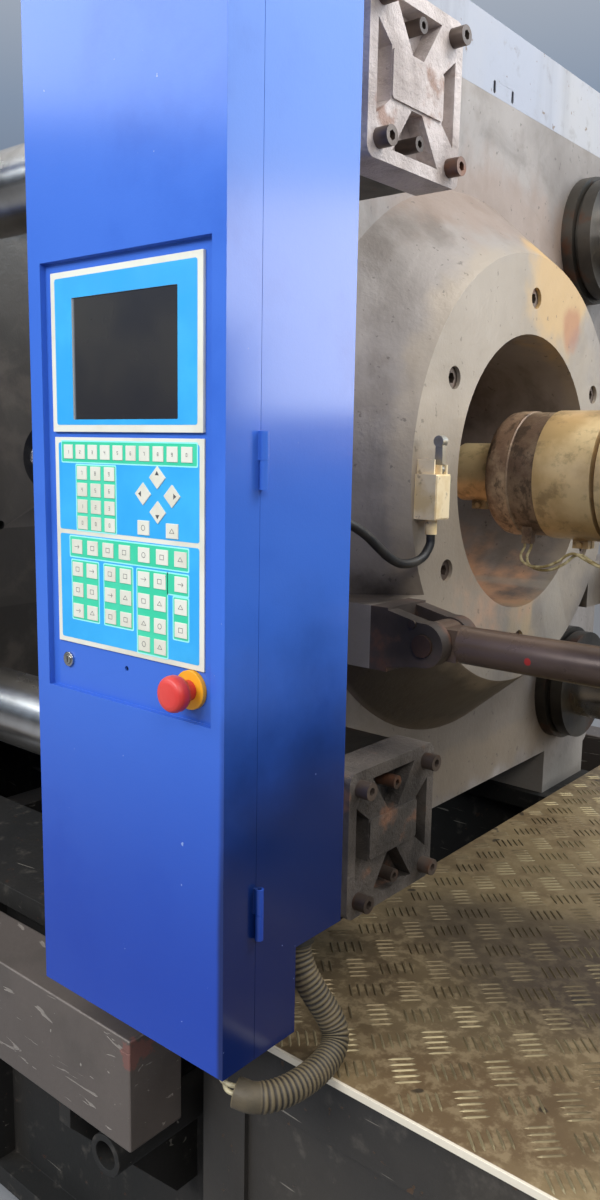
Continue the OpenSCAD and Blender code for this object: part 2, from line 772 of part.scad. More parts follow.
module door_rails() {
    color("royalblue") difference() {
        union() {
            both_sides() box([sill_x, sill_in, platen_top], [rail_end, sill_out, platen_top + rail_h]);
            box([sill_x, -sill_in - 1, platen_top], [sill_x + 70, sill_in + 1, platen_top + rail_h]);
        }
        both_sides() box([sill_x + 71, sill_in + 8, platen_top + 8],
            [rail_end + 1, sill_out - 8, platen_top + rail_h - 8]);
    }
}

// Place of a door's left edge when it is open, and when it is closed
door_open = platen_x - 200 - door_w - door_travel;
door_shut = platen_x - 200 - door_w;
guard_end = door_open + door_w - 10;
guard_t = 30;
rest_gap = loose;

// A fixed guard: a folded tray of sheet with louvres and a stiffening bead
module fixed_guard() {
    low = [sill_x, sill_in, sill_top];
    high = [guard_end, sill_in + guard_t, platen_top];
    bays = 3;
    bay = (guard_end - sill_x) / bays;
    difference() {
        union() {
            difference() {
                box(low, high);
                box(low + [sheet_t, -1, sheet_t], high - [sheet_t, sheet_t, sheet_t]);
            }
            for (i = [1 : bays - 1]) box([sill_x + i * bay - 25, sill_in, sill_top + 1],
                [sill_x + i * bay + 25, sill_in + guard_t - 1, platen_top - 1]);
        }
        for (i = [0 : bays - 1], k = [0 : 7]) translate([sill_x + (i + 0.5) * bay, 0, sill_top + 170 + 34 * k])
            rotate([90, 0, 0]) linear_extrude(4 * sill_out, center = true) round_rect(bay * 0.55, 10, 4.9);
    }
}

module front_guard() {
    color("royalblue") mirror([0, 1, 0]) fixed_guard();
}

module rear_guard() {
    color("royalblue") fixed_guard();
}

window_w = 700;
window_h = 600;
window_z = platen_top - 180 - window_h / 2;
door_y = sill_out - 38;
door_bottom = sill_top + rest_gap;
door_top = platen_top - rest_gap;
bead_reach = window_z - window_h / 2 - door_bottom;

// A sliding door: a folded tray with a tubular handle, and a window opening if it is glazed
module sliding_door(x, glazed) {
    low = [x, door_y, door_bottom];
    high = [x + door_w, door_y + door_t, door_top];
    border = 60;
    middle = x + door_w / 2;
    handle_x = x + door_w - 90;
    handle_z = axis_h - 107;
    difference() {
        union() {
            difference() {
                box(low, high);
                box(low + [sheet_t, -1, sheet_t], high - [sheet_t, sheet_t, sheet_t]);
            }
            if (glazed) box([middle - window_w / 2 - border, door_y, window_z - window_h / 2 - border],
                [middle + window_w / 2 + border, door_y + door_t - 1, window_z + window_h / 2 + border]);
            for (share = [0.2, 0.6]) box([x + 1, door_y + 6, door_bottom + share * bead_reach],
                [x + door_w - 1, door_y + door_t - 1, door_bottom + share * bead_reach + 50]);
        }
        if (glazed) translate([middle, 0, window_z]) rotate([90, 0, 0])
            linear_extrude(4 * sill_out, center = true) round_rect(window_w, window_h, 30);
        if (glazed) box([middle - window_w / 2 - 20, door_y - 1, window_z - window_h / 2 - 20],
            [middle + window_w / 2 + 20, door_y + 12, window_z + window_h / 2 + 20]);
    }
    for (z = [-130, 130]) bar_y(handle_x, door_y + door_t - 1, handle_z + z, 9, 36);
    translate([handle_x, door_y + door_t + 35, handle_z - 160]) cylinder(h = 320, r = 12);
}

// The clear sheet that sits in a door's rebate
module door_window(x) {
    middle = x + door_w / 2;
    box([middle - window_w / 2 - 20 + loose, door_y + 6, window_z - window_h / 2 - 20 + loose],
        [middle + window_w / 2 + 20 - loose, door_y + 12, window_z + window_h / 2 + 20 - loose]);
}

module front_door() {
    color("royalblue") mirror([0, 1, 0]) sliding_door(door_open, true);
}

module front_window() {
    color("lightcyan", 0.4) mirror([0, 1, 0]) door_window(door_open);
}

module rear_door() {
    color("royalblue") sliding_door(door_shut, false);
}

// The shell's outline seen from its side, moved inwards by a wall
module cabinet_outline(wall) {
    step_y = cab_back - cab_step_d;
    polygon([[seam_y - (wall > 0 ? 1 : 0), cab_z + wall], [step_y - wall, cab_z + wall],
        [step_y - wall, cab_z + cab_step + wall], [cab_back - wall, cab_z + cab_step + wall],
        [cab_back - wall, cab_top - wall], [seam_y - (wall > 0 ? 1 : 0), cab_top - wall]]);
}

// Half of each hinge: knuckles on one leaf, at a height above the hinge's start
module knuckles(rise, leaf_y, bore) {
    for (z = hinge_places) difference() {
        union() {
            translate([hinge_x, hinge_y, cab_z + z + rise]) cylinder(h = hinge_l / 2, r = hinge_r);
            box([cab_right - 1, min(leaf_y, hinge_y), cab_z + z + rise],
                [hinge_x, max(leaf_y, hinge_y), cab_z + z + rise + hinge_l / 2]);
        }
        if (bore) translate([hinge_x, hinge_y, cab_z + z + rise - 1])
            cylinder(h = hinge_l, r = hinge_pin_r + run);
    }
}

module cabinet_shell() {
    color("royalblue") {
        difference() {
            across(cab_left, cab_w) cabinet_outline(0);
            across(cab_left + cab_wall, cab_w - 2 * cab_wall) cabinet_outline(cab_wall);
        }
        knuckles(0, seam_y + 4, false);
        for (z = hinge_places) translate([hinge_x, hinge_y, cab_z + z + 5])
            cylinder(h = hinge_l - 7, r = hinge_pin_r);
    }
}

module cabinet_front() {
    recess_right = recess_left + recess_w;
    recess_low = recess_top - recess_h;
    back = seam_y - seam_gap;
    color("royalblue") {
        difference() {
            union() {
                difference() {
                    box([cab_left, cab_front, cab_z], [cab_right, back, cab_top]);
                    box([cab_left + cab_wall, cab_front + cab_wall, cab_z + cab_wall],
                        [cab_right - cab_wall, back + 1, cab_top - cab_wall]);
                }
                box([recess_left - cab_wall, cab_front, recess_low - cab_wall],
                    [recess_right + cab_wall, recess_floor + cab_wall, recess_top + cab_wall]);
            }
            box([recess_left, cab_front - 1, recess_low], [recess_right, recess_floor, recess_top]);
            bar_y(stop_x, recess_floor - 1, switch_row, stop_stem_r + run, 20);
            bar_y(key_x, recess_floor - 1, switch_row, key_r + run, 20);
            bar_y(lamp_x, recess_floor - 1, switch_row + 5, 3, 20);
        }
        knuckles(hinge_l / 2 + 0.3, hinge_y - 4, true);
    }
}

module cabinet_brackets() {
    color("dimgray") for (z = [-212, 338]) box([platen_x - 150, cab_back, axis_h + z],
        [cab_right - 38, -platen_w / 2, axis_h + z + 80]);
}

module screen_panel() {
    color("lightgray") difference() {
        box([panel_left, recess_floor - 4, screen_top - screen_h],
            [panel_left + pad_w, recess_floor, screen_top]);
        box([panel_left + 39, recess_floor - 5, screen_top - 30 - 135],
            [panel_left + 39 + 175, recess_floor + 1, screen_top - 30]);
    }
}

module screen_glass() {
    color("darkslategray") box([panel_left + 39.1, recess_floor - 3, screen_top - 30 - 134.9],
        [panel_left + 39 + 174.9, recess_floor, screen_top - 30.1]);
}

// Keys by place and size, from the keypad's top left corner
key_blocks = [for (i = [0 : 9]) [26.1 + 22.2 * i, 16.6, 16.7, 16.3],
    for (i = [0 : 2], j = [0 : 3]) [50.8 + 24.5 * i, 40.6 + 19.2 * j, 18, 15.5],
    [157, 97, 19, 16], [203, 97.7, 19, 16],
    for (x = [39.2, 68, 95.8, 124.5, 157.3, 187, 216]) [x, 127, 19.2, 16.7],
    for (x = [39.8, 66, 99, 125.8, 156.8, 183], y = [153.8, 178.3, 203.4]) [x, y, 19.2, 16.7],
    for (y = [153.8, 178.3, 203.4]) [216.3, y, 19.2, 16.7],
    [156.8, 226.8, 19.2, 16.7], [183, 226.8, 19.2, 16.7]];
arrow_keys = [[180, 41.7], [156.7, 60], [203, 60.7], [180.3, 79]];

module keypad() {
    plate_y = recess_floor - 2;
    key_y = plate_y - 1.2;
    color("gainsboro") {
        box([panel_left, plate_y, pad_top - pad_h], [panel_left + pad_w, recess_floor, pad_top]);
        for (k = key_blocks) box([panel_left + k[0] - k[2] / 2, key_y, pad_top - k[1] - k[3] / 2],
            [panel_left + k[0] + k[2] / 2, plate_y + 0.5, pad_top - k[1] + k[3] / 2]);
        for (k = arrow_keys) translate([panel_left + k[0], 0, pad_top - k[1]])
            along(key_y, 1.7) polygon([[-13, 0], [0, 12.4], [13, 0], [0, -12.4]]);
    }
}

module stop_collar() {
    color("gold") difference() {
        bar_y(stop_x, recess_floor - 6, switch_row, stop_d / 2 + 1.5, 6);
        bar_y(stop_x, recess_floor - 7, switch_row, stop_stem_r + run, 8);
    }
}

module stop_button() {
    r = stop_d / 2;
    front = recess_floor - 38;
    color("red") translate([stop_x, front, switch_row]) rotate([-90, 0, 0])
        rotate_extrude() polygon([[0, 0], [r - 7, 0.6], [r - 3, 2.2], [r - 0.8, 5], [r, 8], [r, 13],
            [r - 2, 18], [stop_stem_r, 24], [stop_stem_r, 52], [0, 52]]);
}

module key_ring() {
    color("silver") difference() {
        bar_y(key_x, recess_floor - 3, switch_row, 9, 3);
        bar_y(key_x, recess_floor - 4, switch_row, key_r + run, 5);
    }
}

module key_plug() {
    color("gray") difference() {
        bar_y(key_x, recess_floor - 4, switch_row, key_r, 20);
        box([key_x - 0.8, recess_floor - 5, switch_row - 4], [key_x + 0.8, recess_floor + 2, switch_row + 4]);
    }
}

module hose_gland() {
    color("dimgray") {
        translate([cab_right - 32, cab_back - 45, hose_top]) union() {
            cylinder(h = 18, r = hose_r + 3);
            translate([0, 0, 6]) cylinder(h = 12, r = hose_r + 7, $fn = 6);
        }
        bar_y(cable_end.x, cable_end.y - 18, cable_end.z, 10, 18);
        bar_y(cable_end.x, cable_end.y - 18, cable_end.z, 14, 8);
    }
}

module control_hose() {
    color("gray") tube(hose_route, hose_r, 16);
}

module hose_wires() {
    color("ivory") {
        tube(wire_route(wire_shape_a), wire_r, 8);
        tube(wire_route(wire_shape_b), wire_r, 8);
    }
}

// A clevis: a base plate, two cheeks that taper to round ends, and a bore across them
module clevis() {
    half = clevis_pad_h / 2;
    inner = pull_y - eye_w / 2;
    outer = pull_y + eye_w / 2;
    base = ring_face + clevis_base_t;
    difference() {
        union() {
            box([ring_face, inner - cheek_t, pull_z - half], [base, outer + cheek_t, pull_z + half]);
            for (y = [inner - cheek_t, outer]) {
                bar_y(clevis_pin_x, y, pull_z, clevis_r, cheek_t);
                translate([0, 0, pull_z]) along(y, cheek_t) polygon([[base - 1, half - 3],
                    [clevis_pin_x - 8, clevis_r], [clevis_pin_x, clevis_r], [clevis_pin_x, -clevis_r],
                    [clevis_pin_x - 8, -clevis_r], [base - 1, 6 - half]]);
            }
        }
        bar_y(clevis_pin_x, inner - cheek_t - 1, pull_z, pin_r + run, eye_w + 2 * cheek_t + 2);
        bar_y(keeper_x, outer + cheek_t - 14, keeper_z, keeper_r + run, 15);
    }
}

module clevis_blocks() {
    color("dimgray") both_sides() clevis();
}

module clevis_pins() {
    inner = pull_y - eye_w / 2 - cheek_t;
    reach = eye_w + 2 * cheek_t;
    color("saddlebrown") both_sides() union() {
        bar_y(clevis_pin_x, inner - 6, pull_z, pin_r, reach + 7);
        bar_y(clevis_pin_x, inner + reach, pull_z, pin_r + 3, 5);
    }
}

module pull_rods() {
    eye_half = eye_w / 2 - 1;
    neck = clevis_pin_x + clevis_r + 6;
    color("dimgray") both_sides() difference() {
        union() {
            bar_y(clevis_pin_x, pull_y - eye_half, pull_z, clevis_r - 2, 2 * eye_half);
            box([clevis_pin_x, pull_y - eye_half, pull_z - pull_r + 4],
                [neck, pull_y + eye_half, pull_z + pull_r - 4]);
            bar_x(neck - 1, pull_y, pull_z, pull_r, piston_x + 2 - neck);
            bar_x(piston_x, pull_y, pull_z, pull_bore_r, piston_t);
        }
        bar_y(clevis_pin_x, pull_y - eye_w, pull_z, pin_r + 2 * run, 2 * eye_w);
    }
}

module carriage_cylinders() {
    start = pull_front - cylinder_head_t;
    length = pull_rear + cylinder_head_t - start;
    color("steelblue") both_sides() difference() {
        union() {
            bar_x(start, pull_y, pull_z, 62, length);
            bar_x(start, pull_y, pull_z, 72, cylinder_head_t);
            for (x = [start + 70, start + length - 70]) translate([x, pull_y, pull_z])
                cylinder(h = 82, r = 16);
        }
        bar_x(pull_front, pull_y, pull_z, pull_bore_r + run, pull_rear - pull_front);
        bar_x(start - 1, pull_y, pull_z, pull_r + run, cylinder_head_t + 2);
    }
}

// Heater band on the nozzle: its start, length and radius
nozzle_band = [platen_x + 15, 75, nozzle_r + 11];

module nozzle() {
    start = platen_x - 140;
    seat = head_front;
    color("silver") difference() {
        translate([start, 0, axis_h]) rotate([0, 90, 0]) rotate_extrude() polygon([[0, 0], [12, 0], [16, 5],
            [16, 24], [30, 46], [nozzle_r, 66], [nozzle_r, seat - start], [0, seat - start]]);
        bar_x(start - 1, 0, axis_h, 5, seat - start + 2);
    }
}

// A small terminal under the barrel that the heater wires come out of
module terminal(x) {
    box([x - 9, -60, axis_h - band_low], [x + 9, -44, axis_h - head_r + 25]);
}

module barrel_head() {
    seat = head_front;
    color("gray") difference() {
        union() {
            translate([seat, 0, axis_h]) rotate([0, 90, 0]) rotate_extrude() polygon([[0, 0], [head_r - 22, 0],
                [head_r - 8, 5], [head_r - 2, 13], [head_r, 24], [head_r, 48], [head_r - 2, 50],
                [head_r - 2, head_l], [0, head_l]]);
            terminal(terminal_x[0]);
        }
        bar_x(seat - 1, 0, axis_h, 5, head_l);
        bar_x(barrel_x - 70, 0, axis_h, screw_r + run, 71);
        for (a = [0 : 30 : 330]) translate([0, 0, axis_h]) rotate([a, 0, 0])
            bar_x(seat - 1, head_r - 20, 0, 9, 30);
    }
}

module barrel() {
    color("gray") difference() {
        bar_x(barrel_x, 0, axis_h, barrel_r, barrel_end - barrel_x);
        bar_x(barrel_x - 1, 0, axis_h, screw_r + run, barrel_end - barrel_x + 2);
        translate([throat_x, 0, axis_h]) cylinder(h = 2 * barrel_r, r = 45);
    }
}

// One heater band around the barrel, with its clamp lugs and screw
module heater_band(x, l, inner, outer) {
    difference() {
        union() {
            bar_x(x, 0, axis_h, outer, l);
            box([x + l / 2 - 14, -14, axis_h - outer - 14], [x + l / 2 + 14, 14, axis_h - outer + 6]);
        }
        bar_x(x - 1, 0, axis_h, inner, l + 2);
        box([x - 1, -2, axis_h - outer - 15], [x + l + 1, 2, axis_h - inner + 3]);
    }
    bar_y(x + l / 2, -20, axis_h - outer - 7, 5, 40);
}

module heater_bands() {
    outer = barrel_r + band_t;
    color("darkgoldenrod") {
        for (i = [0 : band_count - 1]) heater_band(barrel_x + i * band_pitch + 1, band_w, barrel_r + run, outer);
        heater_band(nozzle_band[0], nozzle_band[1], nozzle_r + run, nozzle_band[2]);
        terminal(terminal_x[1]);
    }
}

module heater_wires() {
    color("darkorange") {
        tube(band_wire(-4, -56, 1), band_wire_r, 8);
        tube(band_wire(4, -48, 1.15), band_wire_r, 8);
    }
}

// The screw's tip, root and shank, with a flight wound along its root
module screw() {
    tip_x = barrel_x - 60;
    flight_x = tip_x + 60;
    flight_end = throat_x + 35;
    length = flight_end - flight_x;
    turns = 20;
    root = screw_r - 12;
    color("silver") translate([0, 0, axis_h]) {
        translate([tip_x, 0, 0]) rotate([0, 90, 0]) cylinder(h = 61, r1 = 8, r2 = root);
        bar_x(flight_x, 0, 0, root, length + 1);
        bar_x(flight_end, 0, 0, screw_r - run / 2, drive_x + 60 - flight_end);
        translate([flight_x, 0, 0]) rotate([0, 90, 0])
            linear_extrude(length, twist = -360 * turns, slices = turns * 12, $fn = 4)
                polygon([[root - 6, -5], [screw_r - 1.5, -4], [screw_r - 1.5, 4], [root - 6, 5]]);
    }
}

module feed_housing() {
    half = 260;
    top = hopper_z;
    color("steelblue") difference() {
        union() {
            box([housing_x, -half, axis_h - 200], [housing_end, half, top]);
            box([housing_x + 30, -half + 60, carriage_top], [housing_end - 30, half - 60, axis_h - 199]);
            box([housing_x - 20, -half, carriage_top], [housing_end, half, carriage_top + 40]);
        }
        bar_x(housing_x - 1, 0, axis_h, barrel_r + run, housing_l + 2);
        translate([throat_x, 0, axis_h]) cylinder(h = top - axis_h + 1, r = 45);
        for (s = [-1, 1]) box([housing_x + 70, s * half - 100, carriage_top + 90],
            [housing_end - 70, s * half + 100, axis_h - 240]);
        bar_x(housing_end - 70, -injection_y, axis_h, 20, 71);
        bar_x(housing_end - 70, injection_y, axis_h, 20, 71);
    }
}

module hopper() {
    r = hopper_d / 2;
    cone_z = 52;
    ring_z = cone_z + hopper_cone_h;
    top = ring_z + hopper_ring_h;
    color("lightgray") {
        translate([throat_x, 0, hopper_z]) rotate_extrude() polygon([[45, 0], [110, 0], [110, 20], [60, 20],
            [60, cone_z], [r, ring_z], [r, top], [r - hopper_t, top], [r - hopper_t, ring_z + 1],
            [60 - hopper_t, cone_z + 3], [45, cone_z - 20]]);
        difference() {
            for (s = [-1, 1]) box([throat_x + s * 60 - 12, r - 14, hopper_z + top - 40],
                [throat_x + s * 60 + 12, r + 24, hopper_z + top]);
            bar_x(throat_x - 100, r + 14, hopper_z + top - 10, 5 + run, 200);
            translate([throat_x, 0, hopper_z + ring_z]) cylinder(h = 2 * hopper_ring_h, r = r - hopper_t);
        }
    }
}

module hopper_lid() {
    r = hopper_d / 2;
    top = hopper_z + 52 + hopper_cone_h + hopper_ring_h;
    color("lightgray") {
        translate([throat_x, 0, top + run]) cylinder(h = 4, r = r + 6);
        difference() {
            box([throat_x - 44, r - 20, top + run], [throat_x + 44, r + 8, top + 4]);
            box([throat_x - 45, r + 7, top - 1], [throat_x + 45, r + 9, top + 5]);
        }
        bar_x(throat_x - 74, r + 14, top - 10, 5, 148);
        for (s = [-1, 1]) box([throat_x + s * 30 - 10, r + 5, top - 10], [throat_x + s * 30 + 10, r + 14, top + 4]);
        for (x = [-40, 40]) bar_y(throat_x + x, -r + 30, top + 3, 0.6, 1);
    }
}

module injection_cylinders() {
    color("steelblue") both_sides() difference() {
        union() {
            bar_x(housing_end, injection_y, axis_h, 85, injection_l);
            bar_x(housing_end, injection_y, axis_h, 98, 36);
            bar_x(housing_end + injection_l - 60, injection_y, axis_h, 98, 60);
        }
        bar_x(housing_end + 40, injection_y, axis_h, 60 + run, injection_l - 90);
        bar_x(housing_end + injection_l - 60, injection_y, axis_h, 35 + run, 61);
    }
}

module drive_plate() {
    color("steelblue") difference() {
        union() {
            across(drive_x, drive_t) translate([0, axis_h]) round_rect(580, 360, 60);
            both_sides() bar_x(housing_end + 60, injection_y, axis_h, 35, drive_x + 1 - housing_end - 60);
            both_sides() bar_x(housing_end + 50, injection_y, axis_h, 60, 50);
        }
        bar_x(drive_x - 1, 0, axis_h, screw_r + run / 2, 62);
    }
}

module screw_motor() {
    start = drive_x + drive_t;
    color("dimgray") {
        bar_x(start, 0, axis_h, 130, 120);
        bar_x(start + 119, 0, axis_h, 100, 101);
        for (a = [0 : 72 : 288]) translate([0, 0, axis_h]) rotate([a + 18, 0, 0])
            bar_x(start + 20, 110, 0, 42, 110);
    }
}

// A saddle on the carriage that holds a pull cylinder
module saddle(x) {
    difference() {
        across(x, 40) polygon([[240, carriage_top - 1], [carriage_half, carriage_top - 1],
            [pull_y + 80, pull_z - 70], [pull_y + 80, pull_z], [pull_y - 80, pull_z], [pull_y - 80, pull_z - 70]]);
        bar_x(x - 1, pull_y, pull_z, 62 + run, 42);
    }
}

// Ends of the carriage at rest
carriage_start = piston_x - 20;
carriage_end = drive_x + 80;

module carriage() {
    start = carriage_start;
    end = carriage_end;
    color("steelblue") {
        box([start, -carriage_half, carriage_top - carriage_t], [end, carriage_half, carriage_top]);
        both_sides() for (x = [start + 20, start + 220]) saddle(x);
        both_sides() for (x = [start + 30, (start + end) / 2 - 90, end - 210])
            box([x, slide_rail_y - 12, deck_h + slide_rail_h + run],
                [x + 180, slide_rail_y + rail_w + 12, carriage_top - carriage_t + 1]);
    }
}

module carriage_rails() {
    color("silver") both_sides() box([carriage_start - carriage_forward - 130, slide_rail_y, deck_h],
        [carriage_end + carriage_back + 100, slide_rail_y + rail_w, deck_h + slide_rail_h]);
}

// Place of the limit switch's lever pin
switch_pin = switch_low + [28, 24, switch_size.z + 7];
lever_pin_r = 3.5;
ear_gap = 12;

module limit_switch() {
    top = switch_low.z + switch_size.z;
    color("ivory") {
        box(switch_low, switch_low + switch_size);
        box(switch_low + [0, 1.5, 2], switch_low + switch_size + [1.5, -1.5, -2]);
        box([switch_low.x, switch_low.y + 5, top - 4], [switch_low.x + 30, switch_low.y + 8, top + 22]);
        for (s = [-1, 1]) box([switch_pin.x - 8, switch_pin.y + s * (ear_gap / 2 + 2) - 2, top - 1],
            [switch_pin.x + 8, switch_pin.y + s * (ear_gap / 2 + 2) + 2, top + 14]);
        bar_y(switch_pin.x, switch_pin.y - ear_gap / 2 - 1, switch_pin.z, lever_pin_r, ear_gap + 2);
        translate(cable_start) cylinder(h = 24, r = 9);
    }
}

module switch_lever() {
    color("whitesmoke") {
        difference() {
            union() {
                bar_y(switch_pin.x, switch_pin.y - 4.5, switch_pin.z, 6.5, 9);
                translate([0, 0, switch_pin.z]) along(switch_pin.y - 4.5, 9) polygon([
                    [switch_pin.x - 7, 8], [switch_pin.x + 7, 8], [switch_pin.x + 6, 42], [switch_pin.x - 6, 42]]);
                translate([0, 0, switch_pin.z]) along(switch_pin.y - 3, 6) polygon([
                    [switch_pin.x - 4, 3], [switch_pin.x + 4, 3], [switch_pin.x + 5, 9], [switch_pin.x - 5, 9]]);
            }
            bar_y(switch_pin.x, switch_pin.y - 5, switch_pin.z, lever_pin_r + run, 10);
        }
        bar_y(switch_pin.x, switch_pin.y - 7, switch_pin.z + 42, 8.5, 14);
    }
}

module switch_cable() {
    color("darkslategray") tube(cable_route, cable_r, 12);
}

// Width of the switchgear box
gear_w = 1000;

module switchgear_box() {
    left = housing_end + 40;
    right = left + gear_w;
    inner_y = carriage_half + 120;
    high = deck_h + 1160;
    color("steelblue") {
        difference() {
            box([left, inner_y, deck_h], [right, front_reach, high]);
            box([left + cab_wall, inner_y + cab_wall, deck_h + cab_wall],
                [right - cab_wall, front_reach - cab_wall - 14, high - cab_wall]);
            box([(left + right) / 2 - 3, front_reach - 6, deck_h + 20],
                [(left + right) / 2 + 3, front_reach + 1, high - 20]);
            for (s = [-1, 1], k = [0 : 8]) translate([(left + right) / 2 + s * 250, 0, deck_h + 120 + 26 * k])
                rotate([90, 0, 0]) linear_extrude(4 * front_reach, center = true) round_rect(260, 8, 3.9);
        }
    }
}

clamp_bed();
injection_base();
deck_plate();
levelling_feet();
door_sills();
fixed_platen();
tie_bars();
tie_bar_nuts();
nut_covers();
platen_screws();
moving_platen();
slide_shoes();
ram();
ejector_cylinder();
ejector_rod();
cylinder_platen();
main_cylinder();
packing_ring();
top_header();
door_rails();
front_guard();
rear_guard();
front_door();
front_window();
rear_door();
cabinet_shell();
cabinet_front();
cabinet_brackets();
screen_panel();
screen_glass();
keypad();
stop_collar();
stop_button();
key_ring();
key_plug();
hose_gland();
control_hose();
hose_wires();
clevis_blocks();
clevis_pins();
pull_rods();
carriage_cylinders();
nozzle();
barrel_head();
barrel();
heater_bands();
heater_wires();
screw();
feed_housing();
hopper();
hopper_lid();
injection_cylinders();
drive_plate();
screw_motor();
carriage();
carriage_rails();
limit_switch();
switch_lever();
switch_cable();
switchgear_box();
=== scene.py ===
import math
import random

import bpy
from mathutils import Matrix, Vector


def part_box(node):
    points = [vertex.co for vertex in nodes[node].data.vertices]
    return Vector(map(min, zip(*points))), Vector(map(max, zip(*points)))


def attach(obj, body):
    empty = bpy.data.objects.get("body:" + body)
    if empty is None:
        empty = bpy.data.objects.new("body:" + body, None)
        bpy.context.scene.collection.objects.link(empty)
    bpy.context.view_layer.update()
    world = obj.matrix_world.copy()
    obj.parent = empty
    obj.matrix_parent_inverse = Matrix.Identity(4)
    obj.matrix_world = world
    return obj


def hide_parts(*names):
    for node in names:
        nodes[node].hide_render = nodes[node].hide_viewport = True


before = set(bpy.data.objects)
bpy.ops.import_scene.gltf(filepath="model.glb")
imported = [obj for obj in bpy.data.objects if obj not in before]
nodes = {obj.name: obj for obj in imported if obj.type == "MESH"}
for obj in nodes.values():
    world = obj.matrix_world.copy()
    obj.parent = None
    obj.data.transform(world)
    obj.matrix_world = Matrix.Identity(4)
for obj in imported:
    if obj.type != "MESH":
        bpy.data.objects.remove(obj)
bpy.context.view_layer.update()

# Camera
# The photograph is taken by hand at eye height, beside the injection unit, looking along the machine
# at the control cabinet and the fixed platen.
camera = bpy.data.objects.new("camera", bpy.data.cameras.new("camera"))
bpy.context.scene.collection.objects.link(camera)
bpy.context.scene.camera = camera
camera_place = (1.154, -1.598, 1.5)
azimuth, pitch, roll = math.radians(39.761), math.radians(9.1245), math.radians(-1.009)
forward = Vector((-math.sin(azimuth) * math.cos(pitch),
                  math.cos(azimuth) * math.cos(pitch),
                  -math.sin(pitch)))
level = Vector((math.cos(azimuth), math.sin(azimuth), 0))
plumb = forward.cross(level)
right = level * math.cos(roll) + plumb * math.sin(roll)
down = plumb * math.cos(roll) - level * math.sin(roll)
turn = Matrix((right, -down, -forward)).transposed()
camera.matrix_world = Matrix.Translation(camera_place) @ turn.to_4x4()
camera.data.lens = 28.85
camera.data.clip_end = 60

# Clamp bed
# Two long box girders of welded plate with recessed webs, cross members and lifting tubes, painted a
# dark grey that oil and dust have dulled; its colour is made near-black as painted shade under the deck.


def linear(code):
    """A colour from its six hex digits, for a shader."""
    parts = [int(code[i:i + 2], 16) / 255 for i in (0, 2, 4)]
    return [c / 12.92 if c < 0.04045 else ((c + 0.055) / 1.055) ** 2.4 for c in parts] + [1]


